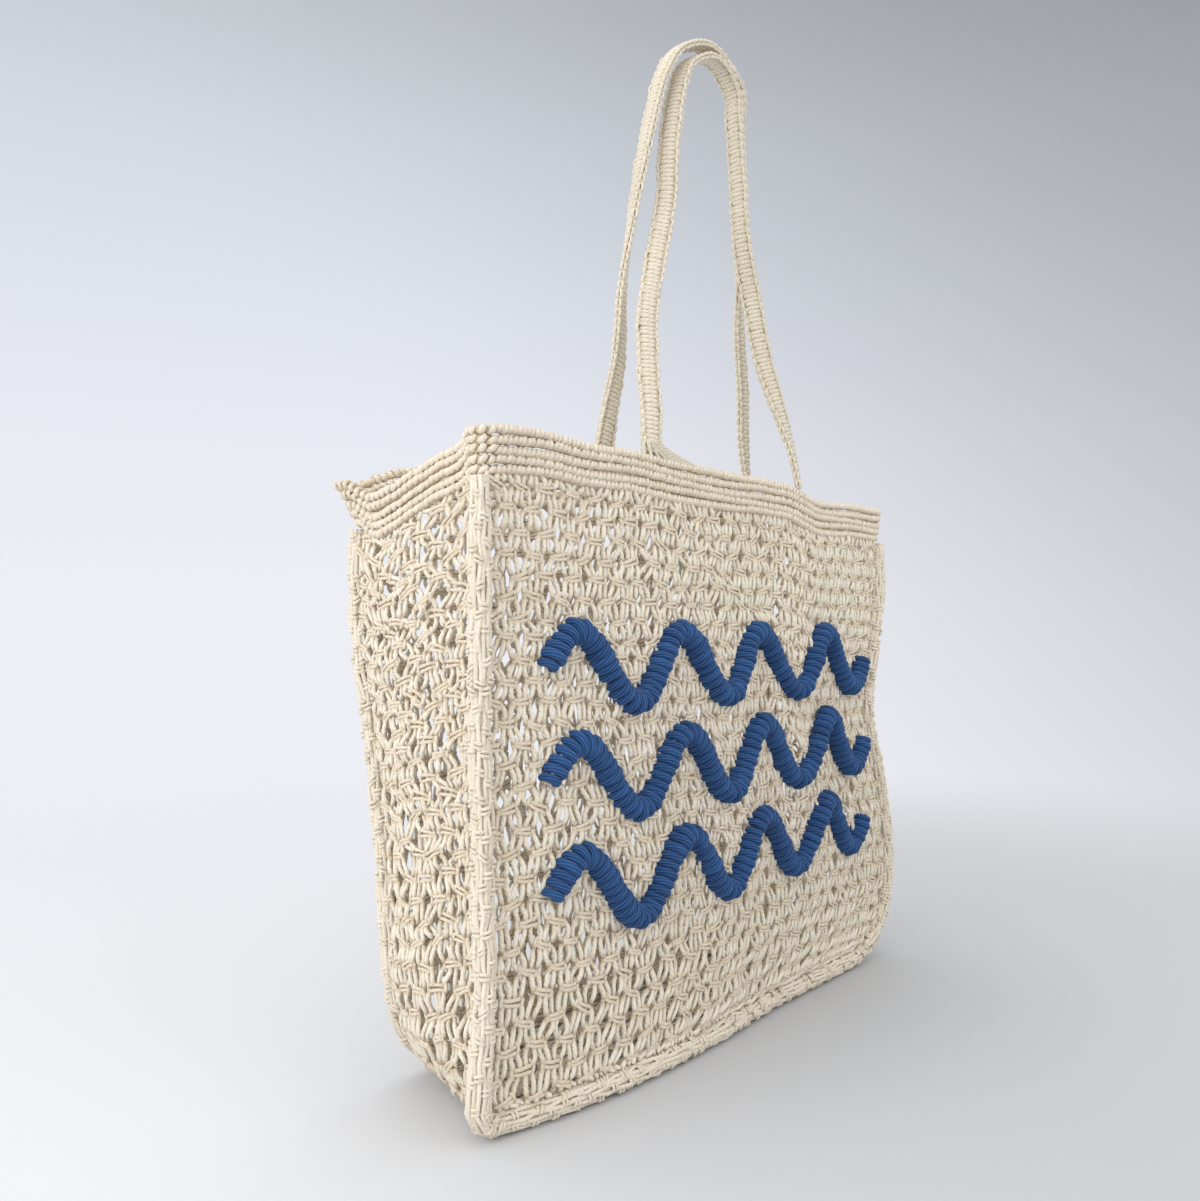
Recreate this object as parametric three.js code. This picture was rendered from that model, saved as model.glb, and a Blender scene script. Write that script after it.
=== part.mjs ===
// An open-knotted beach tote: two net panels, a long net gusset that is both sides and the base, two
// corner seams, a corded rim, two knotted straps and three stitched waves on the front panel.
// Millimetres, +Z up, front at -Y, the middle of the base at the origin.
import * as THREE from "three";

// Driving sizes
const SEAM_SPAN = 430; // between the left and right corner seams, at the rim
const SEAM_DEPTH = 102; // between the front and back corner seams, at the rim
const BAG_HEIGHT = 360; // floor to the top of the rim at the front left corner
const NET_THICK = 5; // one knot of the net, front to back
const SEAM_RADIUS = 6.5; // half a corner seam, a bundle of straight cords
const RIM_ROWS = 5; // hitched rows, one core cord each
const RIM_ROW_HEIGHT = 5;
const RIM_THICK = 6.5; // crest to crest through the rim
const RIM_GROOVE = 1.3; // how far the valleys lie behind the crests
const RIM_CORNER = 10; // how far from a corner the rim starts to turn
const STRAP_WIDTH = 15;
const STRAP_THICK = 5.6;
const STRAP_RISE = 274; // rim to the middle of the strap's highest point
const STRAP_SPREAD = 164; // between the feet of one strap
const FAN_REACH = 40; // how far the front left foot's cords fan out along the rim
const FAN_RISE = 7;
const FAN_TURN = 5; // which way the rim runs under the fan, in degrees
const WAVE_LENGTH = 350; // one stitched wave, end to end
const WAVE_SWING = 20; // crest above its middle line
const WAVE_WIDTH = 14; // the stitched roll
const WAVE_HEIGHT = 8;
const WAVE_PITCH = 60; // one wave's middle line above the next
const WAVE_LOWEST = 116; // the lowest middle line above the floor
const WAVE_COUNT = 3;
const WAVE_CRESTS = 4;
const CLEAR = 0.6; // left between pieces that touch
const NET_CLEAR = 0.9; // the same between a net and a seam, which slants
const RIM_CLEAR = 1.2; // the same under the rim, whose edge rises and falls
const WAVE_CLEAR = 1.8; // the same under a wave, which crosses the facets of the net

// How finely the forms are divided
const PANEL_COLUMNS = 20;
const PANEL_ROWS = 18; // even, so that the top row meets the rim
const GUSSET_COLUMNS = 6;
const WINDOW_ROWS = 3; // from one row of windows to the next
const PANEL_WINDOW_STEP = 2; // a window at every second place along a row
const GUSSET_WINDOW_STEP = 3;
const STRAP_STEPS = 34;
const WAVE_STEPS = 40;
const CORNER_STEPS = 3;
const CORNER_KEEP = 1.5; // the rim's first section past a corner is this many times further in
const SEAM_SIDES = 6;
const FAN_STEPS = [0.004, 0.009]; // extra sections in the fanned foot, as shares of the strap's length

const RIM_HEIGHT = RIM_ROWS * RIM_ROW_HEIGHT;
const NET_INSET = SEAM_RADIUS + NET_CLEAR; // from a seam's middle to the edge of the net
const EDGE_BLEND = 8; // one over the share of a panel in which it squares up to its seams

// Cross sections. A strap's is eight-sided, in shares of its width and thickness. A wave's is half round, in
// shares of its width and height.
const STRAP_SECTION = [
  { wide: -0.5, deep: -0.2 },
  { wide: -0.5, deep: 0.2 },
  { wide: -0.35, deep: 0.5 },
  { wide: 0.35, deep: 0.5 },
  { wide: 0.5, deep: 0.2 },
  { wide: 0.5, deep: -0.2 },
  { wide: 0.35, deep: -0.5 },
  { wide: -0.35, deep: -0.5 },
];
const WAVE_SECTION = [
  { wide: -0.5, high: 0.0 },
  { wide: -0.44, high: 0.55 },
  { wide: -0.2, high: 1.0 },
  { wide: 0.2, high: 1.0 },
  { wide: 0.44, high: 0.55 },
  { wide: 0.5, high: 0.0 },
];

// Colours of the finished thing
const cotton = { color: 0xd9ccb0, roughness: 0.9, metalness: 0 };
const cottonPale = { color: 0xe2d7be, roughness: 0.9, metalness: 0 };
const blueYarn = { color: 0x24487f, roughness: 0.85, metalness: 0 };

// The four corner seams. at: share of the height. Each x is a shift outwards, as a share of the seam span,
// and each y a shift outwards, as a share of the seam depth.
const CORNER_ROWS = [
  { at: 0.0, flX: 0.01, flY: 0.02, frX: 0.012, frY: 0.0, blX: -0.053, blY: -0.13, brX: -0.01, brY: -0.05 },
  { at: 0.1, flX: 0.005, flY: 0.025, frX: 0.021, frY: 0.0, blX: -0.047, blY: -0.13, brX: -0.005, brY: -0.05 },
  { at: 0.2, flX: 0.0, flY: 0.03, frX: 0.03, frY: 0.0, blX: -0.034, blY: -0.13, brX: 0.0, brY: -0.05 },
  { at: 0.38, flX: 0.0, flY: 0.02, frX: 0.0, frY: 0.0, blX: -0.028, blY: -0.1, brX: 0.004, brY: -0.04 },
  { at: 0.55, flX: 0.0, flY: 0.0, frX: -0.05, frY: 0.0, blX: -0.02, blY: -0.05, brX: -0.01, brY: -0.02 },
  { at: 0.7, flX: 0.0, flY: 0.0, frX: -0.022, frY: 0.0, blX: -0.008, blY: -0.01, brX: -0.008, brY: 0.0 },
  { at: 0.82, flX: 0.0, flY: 0.0, frX: -0.004, frY: 0.0, blX: -0.004, blY: 0.0, brX: -0.006, brY: 0.0 },
  { at: 1.0, flX: 0.0, flY: 0.0, frX: 0.0, frY: 0.0, blX: 0.0, blY: 0.0, brX: 0.0, brY: 0.0 },
];
// How far each bottom corner is rounded, as a share of the height.
const CORNER_ROUNDING = { fl: 0.035, fr: 0.145, bl: 0.115, br: 0.15 };

// The front panel's swell outwards, as shares of the seam depth. across: share of the panel from the left.
const FRONT_SWELL = [
  { across: 0.0, low: 0.0, middle: 0.0, high: 0.0 },
  { across: 0.12, low: 0.08, middle: 0.07, high: 0.02 },
  { across: 0.28, low: 0.12, middle: 0.13, high: 0.04 },
  { across: 0.44, low: 0.11, middle: 0.14, high: 0.03 },
  { across: 0.6, low: 0.06, middle: 0.1, high: 0.02 },
  { across: 0.7, low: 0.03, middle: 0.13, high: 0.06 },
  { across: 0.8, low: 0.02, middle: 0.06, high: 0.02 },
  { across: 0.9, low: 0.01, middle: 0.04, high: 0.01 },
  { across: 1.0, low: 0.0, middle: 0.0, high: 0.0 },
];
// The back panel: its mouth is drawn forwards between the straps, so these are mostly inwards.
const BACK_SWELL = [
  { across: 0.0, low: 0.0, middle: 0.0, high: 0.0 },
  { across: 0.1, low: 0.02, middle: 0.02, high: -0.2 },
  { across: 0.2, low: 0.04, middle: -0.02, high: -0.46 },
  { across: 0.32, low: 0.05, middle: -0.08, high: -0.7 },
  { across: 0.5, low: 0.05, middle: -0.1, high: -0.74 },
  { across: 0.68, low: 0.05, middle: -0.08, high: -0.7 },
  { across: 0.8, low: 0.04, middle: -0.02, high: -0.46 },
  { across: 0.9, low: 0.02, middle: 0.02, high: -0.2 },
  { across: 1.0, low: 0.0, middle: 0.0, high: 0.0 },
];
// The sides between the seams, outwards, as shares of the seam depth. deep: share from front to back.
const SIDE_SWELL = [
  { deep: 0.0, low: 0.0, middle: 0.0, high: 0.0 },
  { deep: 0.16, low: -0.03, middle: -0.05, high: -0.06 },
  { deep: 0.4, low: 0.04, middle: 0.03, high: -0.02 },
  { deep: 0.65, low: 0.06, middle: 0.07, high: 0.03 },
  { deep: 0.85, low: 0.04, middle: 0.05, high: 0.02 },
  { deep: 1.0, low: 0.0, middle: 0.0, high: 0.0 },
];
// The rim's top edge round the mouth, as a share of the height. round: 0 to 1 front, to 2 right side,
// to 3 back, to 4 left side. out: how far the rim leans out there, as a share of its own height.
const RIM_LINE = [
  { round: 0.0, top: 1.0, out: 0.1 },
  { round: 0.03, top: 1.002, out: 0.1 },
  { round: 0.1, top: 1.006, out: 0.0 },
  { round: 0.18, top: 1.001, out: 0.0 },
  { round: 0.26, top: 1.003, out: 0.0 },
  { round: 0.36, top: 0.998, out: 0.0 },
  { round: 0.5, top: 0.996, out: 0.0 },
  { round: 0.58, top: 0.999, out: 0.0 },
  { round: 0.65, top: 0.997, out: 0.0 },
  { round: 0.7, top: 0.985, out: 0.0 },
  { round: 0.75, top: 0.976, out: 0.0 },
  { round: 0.82, top: 0.978, out: 0.0 },
  { round: 0.88, top: 0.981, out: 0.0 },
  { round: 0.97, top: 0.98, out: 0.12 },
  { round: 1.1, top: 0.98, out: 0.12 },
  { round: 1.5, top: 0.955, out: 0.1 },
  { round: 1.9, top: 0.965, out: 0.25 },
  { round: 2.03, top: 0.965, out: 0.25 },
  { round: 2.14, top: 0.985, out: 0.05 },
  { round: 2.3, top: 0.99, out: 0.0 },
  { round: 2.7, top: 0.99, out: 0.0 },
  { round: 2.86, top: 0.98, out: 0.05 },
  { round: 2.93, top: 0.974, out: 0.15 },
  { round: 2.965, top: 0.962, out: 0.3 },
  { round: 2.99, top: 0.943, out: 0.6 },
  { round: 3.1, top: 0.941, out: 0.45 },
  { round: 3.17, top: 0.927, out: 0.3 },
  { round: 3.24, top: 0.919, out: 0.2 },
  { round: 3.3, top: 0.9215, out: 0.15 },
  { round: 3.36, top: 0.928, out: 0.1 },
  { round: 3.42, top: 0.9355, out: 0.06 },
  { round: 3.5, top: 0.949, out: 0.03 },
  { round: 3.58, top: 0.96, out: 0.0 },
  { round: 3.66, top: 0.971, out: 0.0 },
  { round: 3.75, top: 0.979, out: 0.0 },
  { round: 3.84, top: 0.989, out: 0.05 },
  { round: 3.93, top: 1.001, out: 0.1 },
  { round: 4.0, top: 1.0, out: 0.1 },
];
// A strap's legs from foot to top. rise: share of the strap's rise. lean: share of the way from its foot's
// plane to its top's. leftIn, rightIn: share of half the spread that each leg has moved towards the middle.
// leftTurn, rightTurn: how far each leg's width has turned from the rim's direction, in degrees.
const FRONT_LEGS = [
  { rise: 0.0, lean: 0.0, leftIn: 0.0, rightIn: 0.0, leftTurn: -14, rightTurn: 32 },
  { rise: 0.1, lean: 0.22, leftIn: 0.055, rightIn: 0.045, leftTurn: -30, rightTurn: 16 },
  { rise: 0.18, lean: 0.45, leftIn: 0.095, rightIn: 0.115, leftTurn: -34, rightTurn: -4 },
  { rise: 0.32, lean: 0.82, leftIn: 0.19, rightIn: 0.24, leftTurn: -36, rightTurn: -44 },
  { rise: 0.46, lean: 0.98, leftIn: 0.335, rightIn: 0.34, leftTurn: -42, rightTurn: -64 },
  { rise: 0.6, lean: 1.0, leftIn: 0.465, rightIn: 0.49, leftTurn: -52, rightTurn: -84 },
  { rise: 0.74, lean: 1.0, leftIn: 0.507, rightIn: 0.545, leftTurn: -66, rightTurn: -92 },
  { rise: 0.88, lean: 1.0, leftIn: 0.617, rightIn: 0.605, leftTurn: -80, rightTurn: -96 },
  { rise: 0.95, lean: 1.0, leftIn: 0.74, rightIn: 0.635, leftTurn: -86, rightTurn: -93 },
  { rise: 1.0, lean: 1.0, leftIn: 1.095, rightIn: 1.095, leftTurn: -90, rightTurn: -90 },
];
const BACK_LEGS = [
  { rise: 0.0, lean: 0.0, leftIn: 0.0, rightIn: 0.0, leftTurn: -10, rightTurn: 24 },
  { rise: 0.12, lean: 0.02, leftIn: 0.1, rightIn: 0.08, leftTurn: -3, rightTurn: 12 },
  { rise: 0.25, lean: 0.2, leftIn: 0.162, rightIn: 0.155, leftTurn: 14, rightTurn: 9 },
  { rise: 0.4, lean: 0.3, leftIn: 0.175, rightIn: 0.25, leftTurn: 30, rightTurn: 14 },
  { rise: 0.53, lean: 0.45, leftIn: 0.23, rightIn: 0.31, leftTurn: 50, rightTurn: 40 },
  { rise: 0.67, lean: 0.65, leftIn: 0.3, rightIn: 0.415, leftTurn: 68, rightTurn: 62 },
  { rise: 0.81, lean: 0.8, leftIn: 0.41, rightIn: 0.472, leftTurn: 76, rightTurn: 78 },
  { rise: 0.88, lean: 0.88, leftIn: 0.483, rightIn: 0.487, leftTurn: 80, rightTurn: 84 },
  { rise: 0.95, lean: 1.0, leftIn: 0.64, rightIn: 0.545, leftTurn: 86, rightTurn: 88 },
  { rise: 1.0, lean: 1.0, leftIn: 1.045, rightIn: 1.045, leftTurn: 90, rightTurn: 90 },
];
// The plane each strap's top lies in, as a share of the seam depth from the middle.
const STRAP_TOP = { front: -0.36, back: -0.34 };

// Smooth reading of a table: a cubic through the rows, flat where the neighbours turn back.
function readTable(rows, key, column, at) {
  const last = rows.length - 1;
  if (at <= rows[0][key]) return rows[0][column];
  if (at >= rows[last][key]) return rows[last][column];
  let i = 0;
  while (rows[i + 1][key] < at) i += 1;
  const slope = (a) => {
    if (a === 0 || a === last) return 0;
    const before = (rows[a][column] - rows[a - 1][column]) / (rows[a][key] - rows[a - 1][key]);
    const after = (rows[a + 1][column] - rows[a][column]) / (rows[a + 1][key] - rows[a][key]);
    return before * after <= 0 ? 0 : (2 * before * after) / (before + after);
  };
  const span = rows[i + 1][key] - rows[i][key];
  const t = (at - rows[i][key]) / span;
  const rise = rows[i + 1][column] - rows[i][column];
  const startSlope = slope(i) * span;
  const endSlope = slope(i + 1) * span;
  const bend = startSlope + endSlope - 2 * rise;
  return rows[i][column] + t * (startSlope + t * (3 * rise - 2 * startSlope - endSlope + t * bend));
}

const mix = (a, b, t) => a + (b - a) * t;
const smooth = (t) => t * t * (3 - 2 * t);

// A swell table holds three heights; this reads it at any height share.
function readSwell(rows, key, at, height) {
  const low = readTable(rows, key, "low", at);
  const middle = readTable(rows, key, "middle", at);
  const high = readTable(rows, key, "high", at);
  const h = Math.min(Math.max(height, 0), 1);
  return h < 0.5 ? mix(low, middle, smooth(h * 2)) : mix(middle, high, smooth(h * 2 - 1));
}

// A corner seam's place in plan at a height, before its bottom rounding. corner is fl, fr, bl or br.
function cornerPlan(corner, z) {
  const share = z / BAG_HEIGHT;
  const sideX = corner[1] === "l" ? -1 : 1;
  const sideY = corner[0] === "f" ? -1 : 1;
  const shiftX = readTable(CORNER_ROWS, "at", corner + "X", share) * SEAM_SPAN;
  const shiftY = readTable(CORNER_ROWS, "at", corner + "Y", share) * SEAM_DEPTH;
  return { x: sideX * (SEAM_SPAN / 2 + shiftX), y: sideY * (SEAM_DEPTH / 2 + shiftY) };
}

const rimTop = (round) => readTable(RIM_LINE, "round", "top", round) * BAG_HEIGHT;
const netTop = (round) => rimTop(round) - RIM_HEIGHT - RIM_CLEAR;
const FACE = {
  front: { left: "fl", right: "fr", out: -1, swell: FRONT_SWELL, round: (across) => across },
  back: { left: "bl", right: "br", out: 1, swell: BACK_SWELL, round: (across) => 3 - across },
};

// The middle of a panel's net at a share across and a height.
function panelPoint(face, across, x, z) {
  const { left, right, out, swell } = FACE[face];
  const share = z / BAG_HEIGHT;
  const y = mix(cornerPlan(left, z).y, cornerPlan(right, z).y, across);
  return new THREE.Vector3(x, y + out * SEAM_DEPTH * readSwell(swell, "across", across, share), z);
}

// The seam's middle line on one side of a face, from the bottom corner up, and its direction into the panel.
function seamSide(face, side, step) {
  const corner = face[0] + side;
  const sign = side === "l" ? -1 : 1;
  const radius = CORNER_ROUNDING[corner] * BAG_HEIGHT;
  const top = netTop(FACE[face].round(side === "l" ? 0 : 1));
  const arc = (radius * Math.PI) / 2;
  const along = step * (arc + top - radius - SEAM_RADIUS);
  const across = side === "l" ? 0 : 1;
  if (along < arc) {
    const angle = along / radius;
    const z = SEAM_RADIUS + radius * (1 - Math.cos(angle));
    const x = cornerPlan(corner, z).x - sign * radius * (1 - Math.sin(angle));
    const point = panelPoint(face, across, x, z);
    return { point, inwards: new THREE.Vector3(-sign * Math.sin(angle), 0, Math.cos(angle)) };
  }
  const z = SEAM_RADIUS + radius + along - arc;
  const point = panelPoint(face, across, cornerPlan(corner, z).x, z);
  return { point, inwards: new THREE.Vector3(-sign, 0, 0) };
}

// The whole seam of a face: down the left side, along the floor and up the right side.
function seamLine(face) {
  const stations = [];
  for (let j = PANEL_ROWS; j >= 0; j -= 1) stations.push(seamSide(face, "l", j / PANEL_ROWS));
  const start = stations[PANEL_ROWS].point.x;
  const finish = seamSide(face, "r", 0).point.x;
  for (let i = 1; i < PANEL_COLUMNS; i += 1) {
    const across = i / PANEL_COLUMNS;
    const point = panelPoint(face, across, mix(start, finish, across), SEAM_RADIUS);
    stations.push({ point, inwards: new THREE.Vector3(0, 0, 1) });
  }
  for (let j = 0; j <= PANEL_ROWS; j += 1) stations.push(seamSide(face, "r", j / PANEL_ROWS));
  return stations;
}

// The share of a side, seam to seam, at a share of the net between its edges.
const netShare = (length, across) => mix(NET_INSET / length, 1 - NET_INSET / length, across);

// A point of a panel's net. across and up run from 0 to 1 between its edges.
function panelNet(face, across, up) {
  const left = seamSide(face, "l", up);
  const right = seamSide(face, "r", up);
  const from = left.point.clone().addScaledVector(left.inwards, NET_INSET);
  const to = right.point.clone().addScaledVector(right.inwards, NET_INSET);
  const share = netShare(SEAM_SPAN, across);
  const sides = mix(from.z, to.z, across);
  const lowest = SEAM_RADIUS + NET_INSET;
  const highest = mix(netTop(FACE[face].round(0)), netTop(FACE[face].round(1)), across);
  const stretch = (sides - lowest) / (highest - lowest);
  const z = mix(lowest, netTop(FACE[face].round(share)), stretch);
  return panelPoint(face, share, mix(from.x, to.x, across), z);
}

// The direction out of a panel at a point of its net, squared up to the plain front and back at the edges.
function panelOut(face, across, up) {
  const step = 0.01;
  const straight = new THREE.Vector3(0, FACE[face].out, 0);
  const fromEdge = Math.min(across, 1 - across, up, 1 - up);
  const east = panelNet(face, Math.min(across + step, 1), up);
  const west = panelNet(face, Math.max(across - step, 0), up);
  const above = panelNet(face, across, Math.min(up + step, 1));
  const below = panelNet(face, across, Math.max(up - step, 0));
  const square = east.sub(west).cross(above.sub(below)).multiplyScalar(-FACE[face].out).normalize();
  return straight.lerp(square, Math.min(fromEdge * EDGE_BLEND, 1)).normalize();
}

// A closed solid from rings of points, all of one length, with the ends capped or the rings joined round.
function ringSolid(rings, joined) {
  const size = rings[0].length;
  const positions = rings.flat().flatMap((p) => [p.x, p.y, p.z]);
  const faces = [];
  const bands = joined ? rings.length : rings.length - 1;
  for (let a = 0; a < bands; a += 1) {
    const b = (a + 1) % rings.length;
    for (let i = 0; i < size; i += 1) {
      const k = (i + 1) % size;
      faces.push(a * size + i, a * size + k, b * size + k, a * size + i, b * size + k, b * size + i);
    }
  }
  if (!joined) {
    const end = (rings.length - 1) * size;
    for (let i = 1; i < size - 1; i += 1) faces.push(0, i + 1, i, end, end + i, end + i + 1);
  }
  return outwards(positions, faces);
}

// A geometry whose faces point out: they are turned round if the solid's volume comes out negative.
function outwards(positions, faces) {
  let volume = 0;
  const at = (i) => new THREE.Vector3().fromArray(positions, 3 * i);
  for (let f = 0; f < faces.length; f += 3) {
    volume += at(faces[f]).dot(at(faces[f + 1]).cross(at(faces[f + 2])));
  }
  if (volume < 0) faces.reverse();
  const geometry = new THREE.BufferGeometry();
  geometry.setAttribute("position", new THREE.Float32BufferAttribute(positions, 3));
  geometry.setIndex(faces);
  geometry.computeVertexNormals();
  return geometry;
}

// A net wall with diamond windows. Every second row of points is set over by half a column, as the knots are.
// place(across, up) gives the middle of the wall and its direction out; solidAt(row) keeps a row whole.
function netWall(columns, rows, step, place, wholeAt) {
  const rowPoints = (row) => {
    if (row % 2 === 0) return Array.from({ length: columns + 1 }, (_, i) => i / columns);
    return [0, ...Array.from({ length: columns }, (_, i) => (i + 0.5) / columns), 1];
  };
  const positions = [];
  const index = [];
  for (let row = 0; row <= rows; row += 1) {
    index.push(
      rowPoints(row).map((across) => {
        const { point, out } = place(across, row);
        const outer = point.clone().addScaledVector(out, NET_THICK / 2);
        const inner = point.clone().addScaledVector(out, -NET_THICK / 2);
        positions.push(outer.x, outer.y, outer.z, inner.x, inner.y, inner.z);
        return positions.length / 6 - 1;
      }),
    );
  }
  // A window spans the two triangles on one edge of a row.
  const windows = new Set();
  for (let row = WINDOW_ROWS; row < rows - 1; row += WINDOW_ROWS) {
    if (wholeAt(row)) continue;
    const first = row % 2 === 0 ? 1 : 2;
    const last = row % 2 === 0 ? columns - 2 : columns - 1;
    const shift = row % 2 === 0 ? 0 : Math.floor(step / 2);
    for (let i = first; i <= last; i += 1) {
      if ((i - first + shift) % step === 0) windows.add(index[row][i] + "/" + index[row][i + 1]);
    }
  }
  const triangles = [];
  const add = (a, b, c) => {
    const edges = [[a, b], [b, c], [c, a]];
    const open = edges.some(([p, q]) => windows.has(p + "/" + q) || windows.has(q + "/" + p));
    if (!open) triangles.push([a, b, c]);
  };
  for (let row = 0; row < rows; row += 1) {
    const even = row % 2 === 0 ? index[row] : index[row + 1];
    const odd = row % 2 === 0 ? index[row + 1] : index[row];
    for (let i = 0; i <= columns; i += 1) {
      if (row % 2 === 0) add(even[i], odd[i + 1], odd[i]);
      else add(even[i], odd[i], odd[i + 1]);
      if (i === columns) continue;
      if (row % 2 === 0) add(even[i], even[i + 1], odd[i + 1]);
      else add(even[i], odd[i + 1], even[i + 1]);
    }
  }
  // Both skins, and a wall along every edge that only one triangle has.
  const faces = [];
  const edges = new Map();
  for (const [a, b, c] of triangles) {
    faces.push(2 * a, 2 * b, 2 * c, 2 * a + 1, 2 * c + 1, 2 * b + 1);
    for (const [p, q] of [[a, b], [b, c], [c, a]]) {
      if (edges.has(q + "/" + p)) edges.delete(q + "/" + p);
      else edges.set(p + "/" + q, [p, q]);
    }
  }
  for (const [p, q] of edges.values()) faces.push(2 * p, 2 * p + 1, 2 * q + 1, 2 * p, 2 * q + 1, 2 * q);
  return outwards(positions, faces);
}

function panel(face) {
  return netWall(
    PANEL_COLUMNS,
    PANEL_ROWS,
    PANEL_WINDOW_STEP,
    (across, row) => {
      const up = row / PANEL_ROWS;
      return { point: panelNet(face, across, up), out: panelOut(face, across, up) };
    },
    () => false,
  );
}

// The gusset: both sides and the base in one strip, between the two seams.
function gusset() {
  const front = seamLine("front");
  const back = seamLine("back");
  const stations = front.length - 1;
  const lowered = SEAM_RADIUS - NET_THICK / 2; // the base lies on the floor, below the seams' middles
  return netWall(
    GUSSET_COLUMNS,
    stations,
    GUSSET_WINDOW_STEP,
    (across, row) => {
      const near = front[row].point;
      const far = back[row].point;
      const depth = near.distanceTo(far);
      const deep = netShare(depth, across);
      const out = front[row].inwards.clone().add(back[row].inwards).normalize().negate();
      const flat = Math.max(-out.z, 0); // 1 on the base, 0 on the sides
      const side = SEAM_DEPTH * readSwell(SIDE_SWELL, "deep", deep, near.z / BAG_HEIGHT) * (1 - flat);
      const point = near.clone().lerp(far, deep).addScaledVector(out, side + lowered * flat);
      const onLeft = row < stations / 2;
      const nearTop = netTop(onLeft ? 4 : 1);
      const farTop = netTop(onLeft ? 3 : 2);
      const plainTop = mix(nearTop, farTop, deep);
      const dip = netTop(onLeft ? 4 - deep : 1 + deep) - plainTop;
      point.z += dip * (point.z / plainTop) ** 2 * (1 - flat);
      return { point, out };
    },
    (row) => Math.abs(row - stations / 2) < WINDOW_ROWS,
  );
}

// A seam: a round bundle of straight cords along the edge of a panel.
function seam(face) {
  const line = seamLine(face);
  const rings = line.map(({ point, inwards }) => {
    const sideways = new THREE.Vector3(0, 1, 0);
    return Array.from({ length: SEAM_SIDES }, (_, i) => {
      const angle = (2 * Math.PI * i) / SEAM_SIDES;
      return point
        .clone()
        .addScaledVector(inwards, SEAM_RADIUS * Math.cos(angle))
        .addScaledVector(sideways, SEAM_RADIUS * Math.sin(angle));
    });
  });
  return ringSolid(rings, false);
}

// The rim's middle line round the mouth: straight off each panel and side, turned at the corners.
function rimLine() {
  const corner = (name, round) => {
    const plan = cornerPlan(name, rimTop(round) - RIM_HEIGHT);
    return new THREE.Vector2(plan.x, plan.y);
  };
  const corners = [corner("fl", 0), corner("fr", 1), corner("br", 2), corner("bl", 3)];
  const steps = [PANEL_COLUMNS, GUSSET_COLUMNS, PANEL_COLUMNS, GUSSET_COLUMNS];
  const sides = steps.map((count, side) => {
    const from = corners[side];
    const to = corners[(side + 1) % corners.length];
    const length = from.distanceTo(to);
    const margin = RIM_CORNER / length;
    const inner = Array.from({ length: count + 1 }, (_, i) => netShare(length, i / count));
    const kept = inner.filter((share) => Math.min(share, 1 - share) > margin * CORNER_KEEP);
    const shares = [margin, ...kept, 1 - margin];
    return shares.map((share) => {
      const round = side + share;
      const plan = from.clone().lerp(to, share);
      const height = (rimTop(round) - RIM_HEIGHT) / BAG_HEIGHT;
      if (side === 0) plan.y -= SEAM_DEPTH * readSwell(FRONT_SWELL, "across", share, height);
      if (side === 1) plan.x += SEAM_DEPTH * readSwell(SIDE_SWELL, "deep", share, height);
      if (side === 2) plan.y += SEAM_DEPTH * readSwell(BACK_SWELL, "across", 1 - share, height);
      if (side === 3) plan.x -= SEAM_DEPTH * readSwell(SIDE_SWELL, "deep", 1 - share, height);
      return { plan, round };
    });
  });
  const line = [];
  sides.forEach((side, s) => {
    line.push(...side);
    const from = side[side.length - 1];
    const to = sides[(s + 1) % sides.length][0];
    const tip = corners[(s + 1) % corners.length];
    for (let k = 1; k < CORNER_STEPS + 1; k += 1) {
      const t = k / (CORNER_STEPS + 1);
      const a = from.plan.clone().lerp(tip, t);
      const b = tip.clone().lerp(to.plan, t);
      const next = to.round < from.round ? to.round + 4 : to.round;
      line.push({ plan: a.lerp(b, t), round: mix(from.round, next, t) % 4 });
    }
  });
  return line;
}

// One hitched row is a rounded ridge outside and inside, with a groove between rows.
function rimProfile() {
  const crest = RIM_THICK / 2;
  const groove = crest - RIM_GROOVE;
  const outside = [];
  for (let row = 0; row < RIM_ROWS; row += 1) {
    const low = row * RIM_ROW_HEIGHT;
    outside.push({ out: groove, up: low }, { out: crest, up: low + RIM_ROW_HEIGHT / 2 });
  }
  outside.push({ out: groove, up: RIM_HEIGHT });
  const inside = [];
  for (let row = RIM_ROWS; row >= 0; row -= 1) {
    inside.push({ out: RIM_GROOVE / 2 - crest, up: row * RIM_ROW_HEIGHT });
  }
  return [...outside, ...inside];
}

function rim() {
  const line = rimLine();
  const profile = rimProfile();
  const rings = line.map(({ plan, round }, i) => {
    const before = line[(i + line.length - 1) % line.length].plan;
    const after = line[(i + 1) % line.length].plan;
    const along = after.clone().sub(before).normalize();
    const out = new THREE.Vector2(along.y, -along.x);
    const lean = readTable(RIM_LINE, "round", "out", round);
    const bottom = rimTop(round) - RIM_HEIGHT;
    return profile.map((p) => {
      const push = p.out + lean * p.up;
      return new THREE.Vector3(plan.x + out.x * push, plan.y + out.y * push, bottom + p.up);
    });
  });
  return ringSolid(rings, true);
}

// The rim's middle at a share of the front or back, where a strap's foot stands.
function footing(face, x) {
  const { left, right, round, out, swell } = FACE[face];
  const across = 0.5 + x / SEAM_SPAN;
  const reach = STRAP_WIDTH / 2 / SEAM_SPAN;
  const top = Math.max(rimTop(round(across - reach)), rimTop(round(across + reach)));
  const share = (top - RIM_HEIGHT) / BAG_HEIGHT;
  const plan = mix(cornerPlan(left, top - RIM_HEIGHT).y, cornerPlan(right, top - RIM_HEIGHT).y, across);
  const swollen = plan + out * SEAM_DEPTH * readSwell(swell, "across", across, share);
  return new THREE.Vector3(x, swollen, top + CLEAR);
}

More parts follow.
